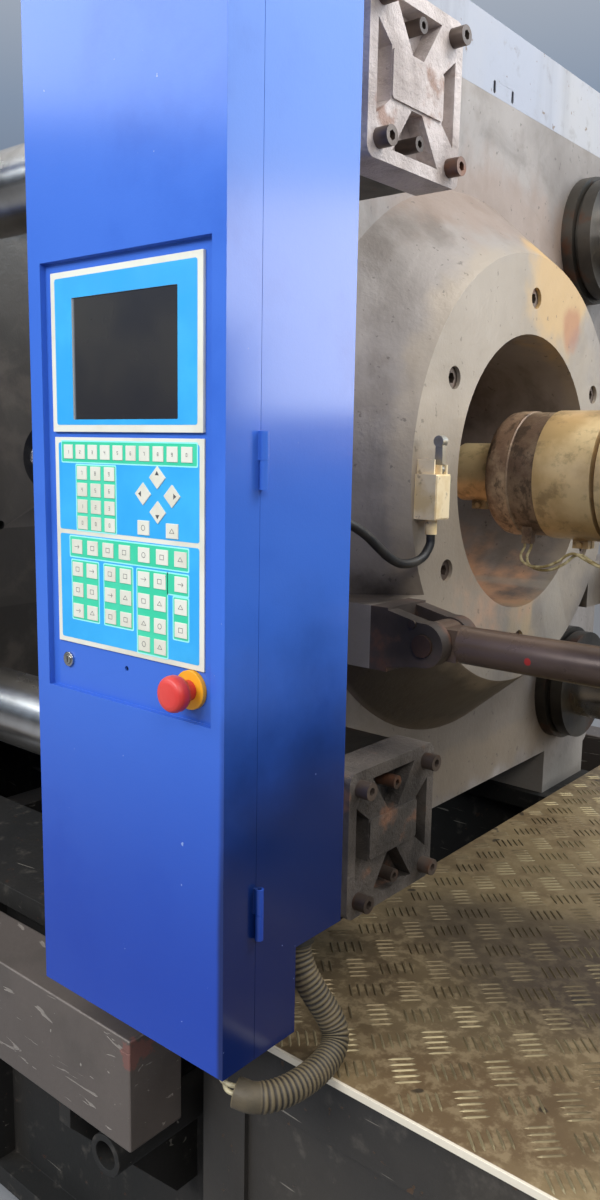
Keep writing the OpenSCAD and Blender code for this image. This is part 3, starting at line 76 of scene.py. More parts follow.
class Shader:
    """A material's node tree, built step by step in object space, in metres."""

    def __init__(self, name, rough=0.5, metal=0.0, coat=0.0, coat_rough=0.12, specular=0.5):
        """One roughness for all of it counts only where done() is given none."""
        self.material = bpy.data.materials.new(name)
        self.material.use_nodes = True
        self.tree = self.material.node_tree
        self.out = self.tree.nodes["Principled BSDF"]
        self.out.inputs["Roughness"].default_value = rough
        self.out.inputs["Metallic"].default_value = metal
        self.out.inputs["Coat Weight"].default_value = coat
        self.out.inputs["Coat Roughness"].default_value = coat_rough
        self.out.inputs["Specular IOR Level"].default_value = specular
        self.place = self.tree.nodes.new("ShaderNodeTexCoord").outputs["Object"]
        self.height = None

    def put(self, value, socket):
        """Links an output to a socket, or sets a number, a vector or a colour's hex digits in it."""
        if isinstance(value, bpy.types.NodeSocket):
            self.tree.links.new(value, socket)
        elif isinstance(value, str):
            socket.default_value = linear(value)
        else:
            socket.default_value = value

    def math(self, kind, a, b):
        node = self.tree.nodes.new("ShaderNodeMath")
        node.operation = kind
        self.put(a, node.inputs[0])
        self.put(b, node.inputs[1])
        return node.outputs[0]

    def axis(self, letter):
        """The place along X, Y or Z."""
        node = self.tree.nodes.new("ShaderNodeSeparateXYZ")
        self.put(self.place, node.inputs[0])
        return node.outputs[letter]

    def stretched(self, scale, shift):
        """The place, scaled along each axis and then shifted."""
        node = self.tree.nodes.new("ShaderNodeMapping")
        self.put(self.place, node.inputs["Vector"])
        node.inputs["Scale"].default_value = scale
        node.inputs["Location"].default_value = shift
        return node.outputs[0]

    def noise(self, scale, detail=5.0, rough=0.55, stretch=(1, 1, 1), shift=(0, 0, 0), warp=0.0):
        node = self.tree.nodes.new("ShaderNodeTexNoise")
        self.put(self.stretched(stretch, shift), node.inputs["Vector"])
        node.inputs["Scale"].default_value = scale
        node.inputs["Detail"].default_value = detail
        node.inputs["Roughness"].default_value = rough
        node.inputs["Distortion"].default_value = warp
        return node.outputs["Fac"]

    def step(self, value, low, high):
        """0 below low and 1 above high, with a smooth rise between them."""
        node = self.tree.nodes.new("ShaderNodeMapRange")
        node.interpolation_type = "SMOOTHSTEP"
        self.put(value, node.inputs["Value"])
        node.inputs["From Min"].default_value = low
        node.inputs["From Max"].default_value = high
        return node.outputs["Result"]

    def patches(self, scale, low, high, **layout):
        """Cloudy patches: 0 where a noise is below low, 1 where it is above high."""
        return self.step(self.noise(scale, **layout), low, high)

    def below(self, letter, level, reach):
        """0 above a level on one axis, rising to 1 at a reach below it."""
        return self.step(self.math("SUBTRACT", level, self.axis(letter)), 0.0, reach)

    def uneven(self, scale, low, high, detail=5.0):
        """A value that wanders between low and high."""
        node = self.tree.nodes.new("ShaderNodeMapRange")
        self.put(self.noise(scale, detail), node.inputs["Value"])
        node.inputs["To Min"].default_value = low
        node.inputs["To Max"].default_value = high
        return node.outputs["Result"]

    def mix(self, share, a, b):
        """Colour a where the share is 0 and colour b where it is 1."""
        node = self.tree.nodes.new("ShaderNodeMix")
        node.data_type = "RGBA"
        self.put(share, node.inputs["Factor"])
        self.put(a, node.inputs["A"])
        self.put(b, node.inputs["B"])
        return node.outputs["Result"]

    def over(self, colour, laid, where, strength=None):
        """A colour with another one laid over it where a value is 1, by all of it or by a strength."""
        share = where if strength is None else self.math("MULTIPLY", where, strength)
        return self.mix(share, colour, laid)

    def spot(self, centre, size, ragged=0.5, scale=14.0, soft=0.5):
        """1 inside a ragged patch around a place, 0 outside it."""
        node = self.tree.nodes.new("ShaderNodeVectorMath")
        node.operation = "LENGTH"
        scales = [1 / s for s in size]
        self.put(self.stretched(scales, [-c * s for c, s in zip(centre, scales)]), node.inputs[0])
        wobble = self.math("MULTIPLY", self.math("SUBTRACT", self.noise(scale), 0.5), 2 * ragged)
        inside = self.math("SUBTRACT", 1.0, self.math("ADD", node.outputs["Value"], wobble))
        return self.step(inside, 0.0, soft)

    def worn_edge(self, low, high):
        """1 on edges that stick out, where the surface wears first."""
        node = self.tree.nodes.new("ShaderNodeNewGeometry")
        return self.step(node.outputs["Pointiness"], low, high)

    def bump(self, value, depth):
        """Relief of a depth in metres, on top of any that is there already."""
        node = self.tree.nodes.new("ShaderNodeBump")
        node.inputs["Distance"].default_value = depth
        node.inputs["Strength"].default_value = 1.0
        self.put(value, node.inputs["Height"])
        if self.height is not None:
            self.put(self.height, node.inputs["Normal"])
        self.height = node.outputs[0]

    def done(self, colour, rough=None):
        """The finished material."""
        self.put(colour, self.out.inputs["Base Color"])
        if rough is not None:
            self.put(rough, self.out.inputs["Roughness"])
        if self.height is not None:
            self.put(self.height, self.out.inputs["Normal"])
        return self.material


def dress(name, material, edge):
    """Gives a CAD node its material and rounds its sharp edges a little; an edge of 0 leaves them sharp."""
    node = nodes[name]
    node.data.materials.clear()
    node.data.materials.append(material)
    shading = node.data.attributes.get("custom_normal")
    if shading:
        node.data.attributes.remove(shading)
    node.data.polygons.foreach_set("use_smooth", [True] * len(node.data.polygons))
    node.modifiers.new("weld", "WELD").merge_threshold = 0.00001
    if edge:
        rounding = node.modifiers.new("rounding", "BEVEL")
        rounding.width = edge
        rounding.segments = 2
        rounding.limit_method = "ANGLE"
        rounding.angle_limit = math.radians(40)
        rounding.harden_normals = False
    normals = node.modifiers.new("normals", "WEIGHTED_NORMAL")
    normals.weight = 90


def old_paint(name, paint, worn, rust, grime, rough):
    """Brushed machine paint with rubbed patches, chips, scratches and streaks of oil."""
    shader = Shader(name, specular=0.35)
    colour = shader.mix(shader.patches(2.2, 0.35, 0.7, detail=6), paint, worn)
    drips = shader.patches(9, 0.5, 0.75, stretch=(1, 1, 0.08))
    colour = shader.over(colour, "2A2621", drips, grime)
    chips = shader.math("MULTIPLY", shader.patches(46, 0.655, 0.675, detail=7, rough=0.62), 0.8)
    colour = shader.over(colour, rust, chips)
    rubs = shader.patches(24, 0.56, 0.72, detail=6, rough=0.6, shift=(2, 7, 3))
    colour = shader.over(colour, "6B645B", rubs, 0.3)
    scratches = shader.patches(30, 0.71, 0.73, detail=2, stretch=(0.12, 1, 1.6), warp=1.5)
    colour = shader.over(colour, "A39C90", scratches, 0.45)
    shader.bump(shader.noise(140, detail=4), depth=0.0004)
    shader.bump(shader.math("MULTIPLY", chips, -1.0), depth=0.0004)
    return shader.done(colour, shader.uneven(18, rough - 0.15, rough + 0.2))


# The near-black bed paint is partly painted shade, for the dark under the deck and the platen.
bed_paint_and_shade = old_paint("bed paint and shade", "1B1B1A", "24211E", "38261C", grime=0.7, rough=0.7)
dress("clamp_bed", bed_paint_and_shade, edge=0.003)

# Injection base
# A welded box under the injection unit, painted dark grey, with shallow pressed fields in its sides.
# Its side is scratched and smeared where people step up to the deck.
base_paint = old_paint("base paint", "2F2D2B", "3F3A34", "4F3B2A", grime=0.55, rough=0.45)
dress("injection_base", base_paint, edge=0.003)

# Levelling feet
# Cast pads on threaded steel studs, with a hexagon nut each under the bed or the base. They are bare,
# grey with dust and a little rusty.


def bare_steel(name, light, dark, rust, rough, metal=0.85, rust_share=0.6, grain=(1, 1, 1)):
    """Bare steel with a film of oil, darker smears and some rust."""
    shader = Shader(name, metal=metal)
    colour = shader.mix(shader.patches(7, 0.35, 0.68, detail=6, stretch=grain), light, dark)
    rusty = shader.patches(12, 0.53, 0.66, detail=7, rough=0.6, shift=(4, 2, 7))
    colour = shader.over(colour, rust, rusty, rust_share)
    shader.bump(shader.noise(220, detail=4, stretch=grain), depth=0.0002)
    return shader.done(colour, shader.uneven(26, rough - 0.12, rough + 0.22))


old_steel = bare_steel("old steel", "6A6761", "3B3934", "5C4230", rough=0.45)
dress("levelling_feet", old_steel, edge=0.001)

# Deck plate
# Steel tread plate with groups of five raised bars, set at 45 degrees and turned from group to group.
# Mud and oil fill it, the bars are rubbed bright, and its front edge is a sheared line of bare steel
# with a painted highlight along it.


def rest_box(name):
    """Lowest and highest corner of a CAD node at rest, to the micrometre."""
    low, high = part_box(name)
    return [round(v, 6) for v in low], [round(v, 6) for v in high]


def add_mesh(name, points, faces, material, body, slot, smooth=True):
    """A mesh with its material, that rides on a body of the frame; the slot is not used."""
    mesh = bpy.data.meshes.new(name)
    mesh.from_pydata([tuple(p) for p in points], [], faces)
    mesh.validate()
    mesh.update()
    mesh.polygons.foreach_set("use_smooth", [smooth] * len(mesh.polygons))
    mesh.materials.append(material)
    made = bpy.data.objects.new(name, mesh)
    bpy.context.scene.collection.objects.link(made)
    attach(made, body)
    return made


deck_low, deck_high = rest_box("deck_plate")
shader = Shader("tread plate", metal=0.25)
mud = shader.patches(2.6, 0.4, 0.62, detail=7, rough=0.6)
colour = shader.mix(mud, "93805D", "6C583E")
oil = shader.patches(1.3, 0.5, 0.66, shift=(1.4, 3, 0))
colour = shader.over(colour, "453829", oil, 0.65)
fine = shader.patches(55, 0.45, 0.62, detail=6, rough=0.65)
colour = shader.over(colour, "A99674", fine, 0.45)
drops = shader.patches(17, 0.705, 0.73, detail=2, shift=(7, 7, 1))
colour = shader.over(colour, "221D19", drops, 0.8)
smear_place, smear_size = (0.66, -0.30, 0.74), (0.42, 0.2, 0.4)
smear = shader.spot(smear_place, smear_size, ragged=0.4, scale=5)
colour = shader.over(colour, "38302A", smear, 0.65)
# The front edge is bare sheared steel, painted near white as a painted highlight.
sheared_width = 0.0045
sheared_edge_and_glint = shader.below("Y", deck_low[1] + sheared_width, 0.0015)
colour = shader.over(colour, "E9DFCB", sheared_edge_and_glint)
shader.bump(shader.noise(120, detail=5), depth=0.0006)
tread_ground = shader.done(colour, shader.uneven(9, 0.3, 0.72, detail=6))
dress("deck_plate", tread_ground, edge=0.001)
shader = Shader("tread bars", metal=0.55)
rubbed = shader.patches(3.4, 0.42, 0.6, detail=6, rough=0.6, shift=(2, 5, 0))
colour = shader.mix(rubbed, "6E6047", "A09372")
smear = shader.spot(smear_place, smear_size, ragged=0.4, scale=5)
colour = shader.over(colour, "4B4234", smear, 0.5)
tread_metal = shader.done(colour, shader.uneven(30, 0.25, 0.6, detail=4))
bar_rim = [(-19, 0), (-12, -2.2), (12, -2.2), (19, 0), (12, 2.2), (-12, 2.2)]
bar_top = [(-11, -0.7), (11, -0.7), (11, 0.7), (-11, 0.7)]
bar_sunk, bar_rise = 0.0004, 0.0016
bar_faces = [(0, 1, 6), (1, 2, 7, 6), (2, 3, 7), (3, 8, 7), (3, 4, 8), (4, 5, 9, 8), (5, 0, 9), (0, 6, 9),
             (6, 7, 8, 9)]
points, faces = [], []


def tread_bar(x, y, angle):
    """Adds one bar, pointed at both ends, to the points and faces."""
    ends = Vector((math.cos(angle), math.sin(angle), 0))
    across = Vector((-math.sin(angle), math.cos(angle), 0))
    middle = Vector((x, y, deck_high[2]))
    start = len(points)
    for outline, lift in [(bar_rim, -bar_sunk), (bar_top, bar_rise)]:
        for a, b in outline:
            points.append(middle + ends * a / 1000 + across * b / 1000 + Vector((0, 0, lift)))
    for face in bar_faces:
        faces.append(tuple(start + k for k in face))


group_x, group_y = 0.289, -0.753
pitch_x, pitch_y = 0.0935, 0.0755
bar_pitch = 0.0112
bare_rim = 0.018
columns = math.ceil((deck_high[0] - deck_low[0]) / pitch_x)
rows = math.ceil((deck_high[1] - deck_low[1]) / pitch_y)
for i in range(-1, columns + 2):
    for j in range(-1, rows + 2):
        for way, dx, dy in [(1, 0, 0), (-1, 0.0465, -0.0375)]:
            x, y = group_x + pitch_x * i + dx, group_y + pitch_y * j + dy
            angle = math.radians(45 * way)
            for k in range(-2, 3):
                bar_x = x - math.sin(angle) * bar_pitch * k
                bar_y = y + math.cos(angle) * bar_pitch * k
                inside_x = deck_low[0] + bare_rim < bar_x < deck_high[0] - bare_rim
                inside_y = deck_low[1] + bare_rim < bar_y < deck_high[1] - bare_rim
                if inside_x and inside_y:
                    tread_bar(bar_x, bar_y, angle)
add_mesh("tread_bars", points, faces, tread_metal, "machine", "deck", smooth=False)

# Door sills
# Square tubes of dark, oiled steel on brackets along both sides of the bed. The doors run on them, and
# years of tools have scratched and dented them; a patch of old red primer shows at the near end.
shader = Shader("sill steel", metal=0.6)
colour = shader.mix(shader.patches(3.4, 0.38, 0.65, detail=7), "3A3230", "504743")
colour = shader.over(colour, "2A2523", shader.patches(11, 0.5, 0.7, detail=6, shift=(2, 0, 4)))
scratches = shader.patches(19, 0.635, 0.665, detail=3, stretch=(0.35, 1, 2.4), warp=2.2)
colour = shader.over(colour, "B9B0A6", scratches, 0.9)
chips = shader.patches(70, 0.735, 0.75, detail=3, shift=(9, 1, 1))
colour = shader.over(colour, "CFC7BC", chips)
primer = shader.spot((0.288, -0.88, 0.735), (0.016, 0.05, 0.02), ragged=1.2, scale=90, soft=0.25)
colour = shader.over(colour, "8C3A2E", primer)
colour = shader.over(colour, "8A8078", shader.worn_edge(0.505, 0.54), 0.5)
shader.bump(shader.noise(90, detail=5), depth=0.0006)
shader.bump(shader.math("MULTIPLY", scratches, -1.0), depth=0.0005)
dress("door_sills", shader.done(colour, shader.uneven(14, 0.3, 0.65)), edge=0.0035)

# Fixed platen
# One heavy iron casting, machined over its injection side and hub, with bores for the tie bars and core
# pockets in its sides. A grey primer has worn to bare iron, with rust and dried oil. Shade is painted
# under the hub's cone, around a clevis pad and high in the nozzle bore, and light low in the bore.


def cast_iron(name, light, dark, spots, rough, flank=None):
    """Iron with worn primer, smears, streaks and its own spots: a place, a size, a colour and a strength.

    The flank is the hub's cone, with painted shade underneath: its foot and rim along X, and the height
    where it starts.
    """
    shader = Shader(name, metal=0.2)
    colour = shader.mix(shader.patches(2.4, 0.38, 0.64, detail=7, rough=0.6), light, dark)
    worn = shader.patches(8.5, 0.5, 0.68, detail=6, rough=0.6, shift=(5, 2, 1))
    colour = shader.over(colour, "6E645C", worn, 0.5)
    smears = shader.patches(5, 0.5, 0.7, detail=7, rough=0.65, shift=(8, 3, 3), warp=1.4)
    colour = shader.over(colour, "5F5851", smears, 0.4)
    streaks = shader.patches(13, 0.54, 0.72, stretch=(1, 1, 0.12))
    colour = shader.over(colour, "4E453D", streaks, 0.35)
    if flank:
        foot, rim, height = flank
        raised = shader.math("MULTIPLY", shader.step(shader.axis("X"), foot, foot + 0.008),
                             shader.below("X", rim, 0.003))
        # Painted shade: the underside of the hub's cone is darkened in oily greys.
        shaded_underside = shader.below("Z", height, 0.2)
        oil = shader.mix(shader.patches(7, 0.42, 0.66, detail=6), "58534D", "453D36")
        colour = shader.over(colour, oil, shader.math("MULTIPLY", raised, shaded_underside), 0.9)
    for centre, size, code, strength in spots:
        colour = shader.over(colour, code, shader.spot(centre, size, ragged=0.5, scale=16), strength)
    specks = shader.patches(75, 0.66, 0.7, detail=4)
    colour = shader.over(colour, "3A332E", specks, 0.5)
    colour = shader.over(colour, "ABA397", shader.worn_edge(0.505, 0.55), 0.5)
    shader.bump(shader.noise(28, detail=5), depth=0.0012)
    shader.bump(shader.noise(160, detail=4), depth=0.0004)
    return shader.done(colour, shader.uneven(10, rough - 0.18, rough + 0.2))


platen_spots = [
    ((0.36, -0.1, 1.5), (0.06, 0.6, 0.6), "A89A86", 0.55),
    ((0.21, 0.10, 1.90), (0.2, 0.45, 0.16), "8F7A6C", 0.6),
    ((0.36, 0.09, 1.79), (0.12, 0.15, 0.14), "C9A468", 0.8),
    ((0.36, 0.15, 1.72), (0.1, 0.05, 0.05), "A0552F", 0.6),
    ((0.36, 0.02, 1.21), (0.1, 0.035, 0.07), "C9B083", 0.7),
    ((0.21, -0.45, 1.7), (0.1, 0.2, 0.2), "B0A9A4", 0.6),
    ((0.21, -0.62, 1.85), (0.1, 0.12, 0.1), "BDB2AC", 0.6),
    ((0.21, 0.0, 0.93), (0.05, 0.7, 0.16), "6E6459", 0.7),
    ((0.21, -0.58, 1.02), (0.05, 0.16, 0.13), "9C9692", 0.6),
    ((0.35, 0.0, 1.17), (0.02, 0.07, 0.12), "C2A67E", 0.6),
    # Painted shade around and under the clevis pad.
    ((0.30, -0.44, 1.225), (0.09, 0.17, 0.1), "3A322D", 0.9),
    ((0.21, 0.1, 0.86), (0.1, 0.6, 0.06), "857868", 0.6),
    # Rust low in the nozzle bore, made lighter as painted light.
    ((0.12, -0.05, 1.25), (0.3, 0.3, 0.16), "D8A682", 0.9),
    ((0.21, -0.3, 2.03), (0.05, 0.2, 0.1), "B79A86", 0.6),
    # Painted shade high in the nozzle bore.
    ((0.05, 0.0, 1.56), (0.16, 0.3, 0.2), "463D38", 0.8)]
cone_foot, cone_rim, shade_height = 0.212, 0.3495, 1.33
platen_iron = cast_iron("platen iron", "98918C", "79726D", platen_spots, rough=0.5,
                        flank=(cone_foot, cone_rim, shade_height))
dress("fixed_platen", platen_iron, edge=0.004)

# Tie bars and their nuts
# Hard-chromed steel bars through all three platens. On the far side round nuts hold them and the ends
# stick out; on the near side split nuts sit under square cast covers.
shader = Shader("hard chrome", metal=1.0)
colour = shader.mix(shader.patches(5, 0.4, 0.7, detail=6), "DDDAD6", "B4B0AA")
stains = shader.patches(20, 0.55, 0.7, shift=(1, 2, 3))
colour = shader.over(colour, "6A5B4B", stains, 0.2)
shader.bump(shader.noise(300, detail=2, stretch=(0.05, 1, 1)), depth=0.00006)
hard_chrome = shader.done(colour, shader.uneven(9, 0.14, 0.36))
dress("tie_bars", hard_chrome, edge=0.003)
dark_steel = bare_steel("dark steel", "4E4A44", "2E2B28", "5A3A28", rough=0.42, metal=0.7, rust_share=0.7)
dress("tie_bar_nuts", dark_steel, edge=0.002)

# Nut covers
# Square iron castings with four pockets between crossed ribs, over each near split nut. The sand-cast
# skin is coarse; the upper one is pale with dust and painted light, the lower one dark with oil and
# painted shade.
shader = Shader("cover casting", metal=0.1)
# Pale above and dark below: dust and oil, and painted light and shade.
upper_light_and_dust = shader.step(shader.axis("Z"), 1.1, 1.5)
pale = shader.mix(shader.patches(11, 0.4, 0.66, detail=6), "CFC4C0", "A59994")
dark = shader.mix(shader.patches(11, 0.4, 0.66, detail=6), "57504A", "38332F")
colour = shader.mix(upper_light_and_dust, dark, pale)
rust = shader.patches(16, 0.56, 0.68, detail=6, shift=(3, 3, 3))
colour = shader.over(colour, "8A5F45", rust, 0.7)
colour = shader.over(colour, "B5ACA4", shader.worn_edge(0.51, 0.58), 0.5)
shader.bump(shader.noise(46, detail=6, rough=0.7), depth=0.005)
shader.bump(shader.noise(230, detail=4), depth=0.0007)
dress("nut_covers", shader.done(colour, shader.uneven(30, 0.4, 0.8)), edge=0.003)

# Cover and hub screws
# Black steel screws, mostly with a hexagon socket. The corner ones go through the nut covers into the
# platen, others sit in the hub's ring, and each clevis has a keeper. They are oily and brown with rust.
screw_steel = bare_steel("screw steel", "6B5F57", "413731", "7A4E36", rough=0.4, metal=0.6, rust_share=0.75)
dress("platen_screws", screw_steel, edge=0.0012)

# Moving platen
# An iron casting: the front plate with the mould's bolt holes and a rear box, on bronze shoes. The
# whole casting is coloured near-black.
mould_face_spots = [((-1.05, 0.2, 1.3), (0.1, 0.4, 0.3), "3B3633", 0.6)]
moving_iron = cast_iron("moving platen iron", "2B2A2A", "1F1E1E", mould_face_spots, rough=0.4)
dress("moving_platen", moving_iron, edge=0.004)
bronze = bare_steel("bronze", "9A7B45", "6E5530", "4C3B26", rough=0.35, metal=0.9, rust_share=0.5)
dress("slide_shoes", bronze, edge=0.001)

# Clamping ram and cylinder
# A chromed ram in a forged cylinder, bolted to the cylinder platen at the far end of the bed; a bronze
# ring around the ram packs the cylinder's mouth.
dress("ram", hard_chrome, edge=0.002)
dress("packing_ring", bronze, edge=0.001)
unit_paint = old_paint("unit paint", "2F4F86", "38578B", "4F3B2A", grime=0.35, rough=0.38)
dress("main_cylinder", unit_paint, edge=0.004)
rear_iron = cast_iron("rear platen iron", "55595C", "454A4E", [], rough=0.5)
dress("cylinder_platen", rear_iron, edge=0.004)

# Ejector
# A small hydraulic cylinder, painted blue, inside the moving platen. Its chromed rod comes out through
# the platen's front and pushes the moulding off the mould.
dress("ejector_cylinder", unit_paint, edge=0.001)
dress("ejector_rod", hard_chrome, edge=0.001)

# Door header and rails
# Folded sheet steel over the fixed platen and along both sides, where the doors' rollers run. The
# header is sprayed pale grey, the rails blue like the guards.
header_paint = old_paint("header paint", "A0A5B2", "ABABAE", "7E6B58", grime=0.25, rough=0.5)
dress("top_header", header_paint, edge=0.0005)
guard_paint = old_paint("guard paint", "1C4FA8", "2457AE", "50402F", grime=0.3, rough=0.35)
dress("door_rails", guard_paint, edge=0.002)

# Guards and doors
# Trays of folded sheet with pressed louvres and stiffening beads; both doors hang in front of the
# fixed guards, the front one with a clear window.
for name in ("front_guard", "rear_guard", "front_door", "rear_door"):
    dress(name, guard_paint, edge=0.0004)
shader = Shader("window sheet")
shader.out.inputs["Transmission Weight"].default_value = 1.0
shader.out.inputs["IOR"].default_value = 1.45
window_sheet = shader.done("E4EEF0", shader.uneven(6, 0.03, 0.14, detail=4))
dress("front_window", window_sheet, edge=0.0005)

# Control cabinet
# A tall narrow box of folded sheet, sprayed in a glossy royal blue: the shell stands off the platen on
# two brackets, and its front is a hinged tray with a sunk field for the panels. Shade is painted on its
# lower part and low on its side.
cabinet_low, cabinet_high = rest_box("cabinet_shell")
cabinet_width = 0.324
cabinet_right = cabinet_low[0] + cabinet_width
shader = Shader("cabinet paint", coat=0.9, coat_rough=0.17, specular=0.0)
colour = shader.mix(shader.patches(1.6, 0.3, 0.75, detail=4), "3A68C8", "4470CE")
handled = shader.patches(6, 0.5, 0.75, shift=(3, 0, 2))
colour = shader.over(colour, "1546A8", handled, 0.35)
# Painted shade: the blue darkens towards the bottom.
painted_shade_low = shader.below("Z", 1.36, 0.5)
colour = shader.over(colour, "062F94", painted_shade_low, 0.85)
# Painted shade: a near-black patch low on the side by the hose.
side_shade = shader.spot((cabinet_right, -0.78, 0.86), (0.012, 0.4, 0.5), ragged=0.3, scale=5, soft=0.6)
colour = shader.over(colour, "030F2E", side_shade, 0.8)
chips = shader.patches(90, 0.775, 0.79, detail=2, shift=(2, 8, 2))
colour = shader.over(colour, "7E93C8", chips)
shader.bump(shader.noise(420, detail=2), depth=0.00012)
shader.bump(shader.noise(13, detail=4), depth=0.001)
cabinet_paint = shader.done(colour, shader.uneven(12, 0.38, 0.55, detail=4))
dress("cabinet_shell", cabinet_paint, edge=0.0015)
dress("cabinet_front", cabinet_paint, edge=0.0018)
dress("cabinet_brackets", old_steel, edge=0.001)

# Screen and its panel
# A printed plastic film with a cream border and a light blue field around a dark screen behind glass.
# The cabinet's front carries it in the sunk field.


def rounded(x0, z0, x1, z1, r):
    """A rectangle with round corners, as points (x, z) in order."""
    corners = [(x1 - r, z1 - r, 0), (x0 + r, z1 - r, 90), (x0 + r, z0 + r, 180), (x1 - r, z0 + r, 270)]
    bends = [(x, z, math.radians(start + 18 * k)) for x, z, start in corners for k in range(6)]
    return [(x + r * math.cos(bend), z + r * math.sin(bend)) for x, z, bend in bends]


def film(outlines, y, thick, hole=None):
    """Thin sheets that stand on the plane y and reach thick towards -Y.

    A hole goes through all of them and has as many points as an outline.
    """
    points, faces = [], []
    for outline in outlines:
        n = len(outline)
        back = len(points)
        front = back + n
        ring = [(k, (k + 1) % n) for k in range(n)]
        points += [(x, y, z) for x, z in outline] + [(x, y - thick, z) for x, z in outline]
        faces += [(back + a, back + b, front + b, front + a) for a, b in ring]
        if hole is None:
            faces.append(tuple(front + k for k in range(n)))
            continue
        hole_back = front + n
        hole_front = hole_back + n
        points += [(x, y, z) for x, z in hole] + [(x, y - thick, z) for x, z in hole]
        faces += [(front + a, front + b, hole_front + b, hole_front + a) for a, b in ring]
        faces += [(hole_front + a, hole_front + b, hole_back + b, hole_back + a) for a, b in ring]
    return points, faces


def printed(name, code, worn, rough):
    """Printed or moulded plastic of one colour, a little worn."""
    shader = Shader(name)
    colour = shader.mix(shader.patches(14, 0.4, 0.75), code, worn)
    return shader.done(colour, shader.uneven(30, rough - 0.1, rough + 0.15))


cream_print = printed("cream print", "D9D8CC", "CBC8B8", rough=0.45)
blue_print = printed("blue print", "2E9FE0", "3AABE6", rough=0.35)
panel_low, panel_high = rest_box("screen_panel")
glass_low, glass_high = rest_box("screen_glass")
shader = Shader("screen", rough=0.12, coat=0.6)
left_edge = shader.below("X", glass_low[0] + 0.0044, 0.004)
colour = shader.mix(shader.patches(7, 0.3, 0.8, detail=3), "2B2B2F", "3B3936")
colour = shader.over(colour, "8B9099", left_edge, 0.8)
dress("screen_panel", cream_print, edge=0.0006)
dress("screen_glass", shader.done(colour), edge=0.0)
border, top_border, glass_gap = 0.008, 0.007, 0.0001
print_thick = 0.0002
field_outline = rounded(panel_low[0] + border, panel_low[2] + border,
                        panel_high[0] - border, panel_high[2] - top_border, 0.003)
window = rounded(glass_low[0] - glass_gap, glass_low[2] - glass_gap,
                 glass_high[0] + glass_gap, glass_high[2] + glass_gap, 0.0015)
field = film([field_outline], panel_low[1], print_thick, window)
add_mesh("screen_field", *field, blue_print, "cabinet_front", "screen", smooth=False)

# Keypad
# One plastic film with raised keys: a cream border, a blue field, green strips and blocks that group
# the keys, and a white line across it. The keys carry small generic marks, the four diamonds an arrow each.
keypad_low, keypad_high = rest_box("keypad")
sheet_thick = 0.002
pad_left, pad_high = keypad_low[0], keypad_high[2]
pad_face, key_face = keypad_high[1] - sheet_thick, keypad_low[1]


def on_pad(x0, y0, x1, y1, r):
    """A rounded rectangle by its millimetres from the keypad's top left corner."""
    left, right_side = pad_left + x0 / 1000, pad_left + x1 / 1000
    return rounded(left, pad_high - y1 / 1000, right_side, pad_high - y0 / 1000, r)


green_print = printed("green print", "35C298", "48CBA5", rough=0.38)
pale_print = printed("pale print", "8FE3E0", "A0E6E4", rough=0.38)
dress("keypad", cream_print, edge=0.0004)
layer = 0.0001
fields = [on_pad(7, 6, 244, 107.6, 0.003), on_pad(7, 112.8, 244, 238, 0.003)]
field = film(fields, pad_face, print_thick)
add_mesh("pad_field", *field, blue_print, "cabinet_front", "keys", smooth=False)
blocks = [(13, 4.6, 241, 28.6), (39.4, 31.3, 110.7, 107.3), (25.3, 114.9, 227.9, 139.3), (28, 143, 78, 214),
          (87.5, 143, 138, 214), (145, 143, 195, 238), (195, 143, 227.9, 166), (204, 168, 227.9, 214.5)]
pale = [on_pad(a - 1, b - 1, c + 1, d + 1, 0.002) for a, b, c, d in blocks]
outlines = film(pale, pad_face - layer, print_thick)
add_mesh("pad_outlines", *outlines, pale_print, "cabinet_front", "keys", smooth=False)
green = [on_pad(a + 0.6, b + 0.6, c - 0.6, d - 0.6, 0.0015) for a, b, c, d in blocks]
groups = film(green, pad_face - 2 * layer, print_thick)
add_mesh("pad_blocks", *groups, green_print, "cabinet_front", "keys", smooth=False)
segments = {"a": (0, 2, 1, 2), "b": (1, 2, 1, 1), "c": (1, 1, 1, 0), "d": (0, 0, 1, 0), "e": (0, 0, 0, 1),
            "f": (0, 1, 0, 2), "g": (0, 1, 1, 1)}
digits = ["abcdef", "bc", "abged", "abgcd", "fgbc", "afgcd", "afgedc", "abc", "abcdefg", "abfgcd"]
marks = []


def stroke(x0, y0, x1, y1, wide):
    """Adds a thin printed line between two places on the keypad, in millimetres, to the marks."""
    a, b = Vector((x0, y0)), Vector((x1, y1))
    cap = (b - a).normalized() * wide / 2
    across = Vector((-cap.y, cap.x))
    corners = [a - cap - across, b + cap - across, b + cap + across, a - cap + across]
    marks.append([(pad_left + p.x / 1000, pad_high - p.y / 1000) for p in corners])


def digit(value, x, y, size=1.7):
    """Adds a digit made of straight segments, of a given half height."""
    for letter in digits[value]:
        x0, y0, x1, y1 = segments[letter]
        stroke(x + x0 * size, y - y0 * size, x + x1 * size, y - y1 * size, wide=0.45)


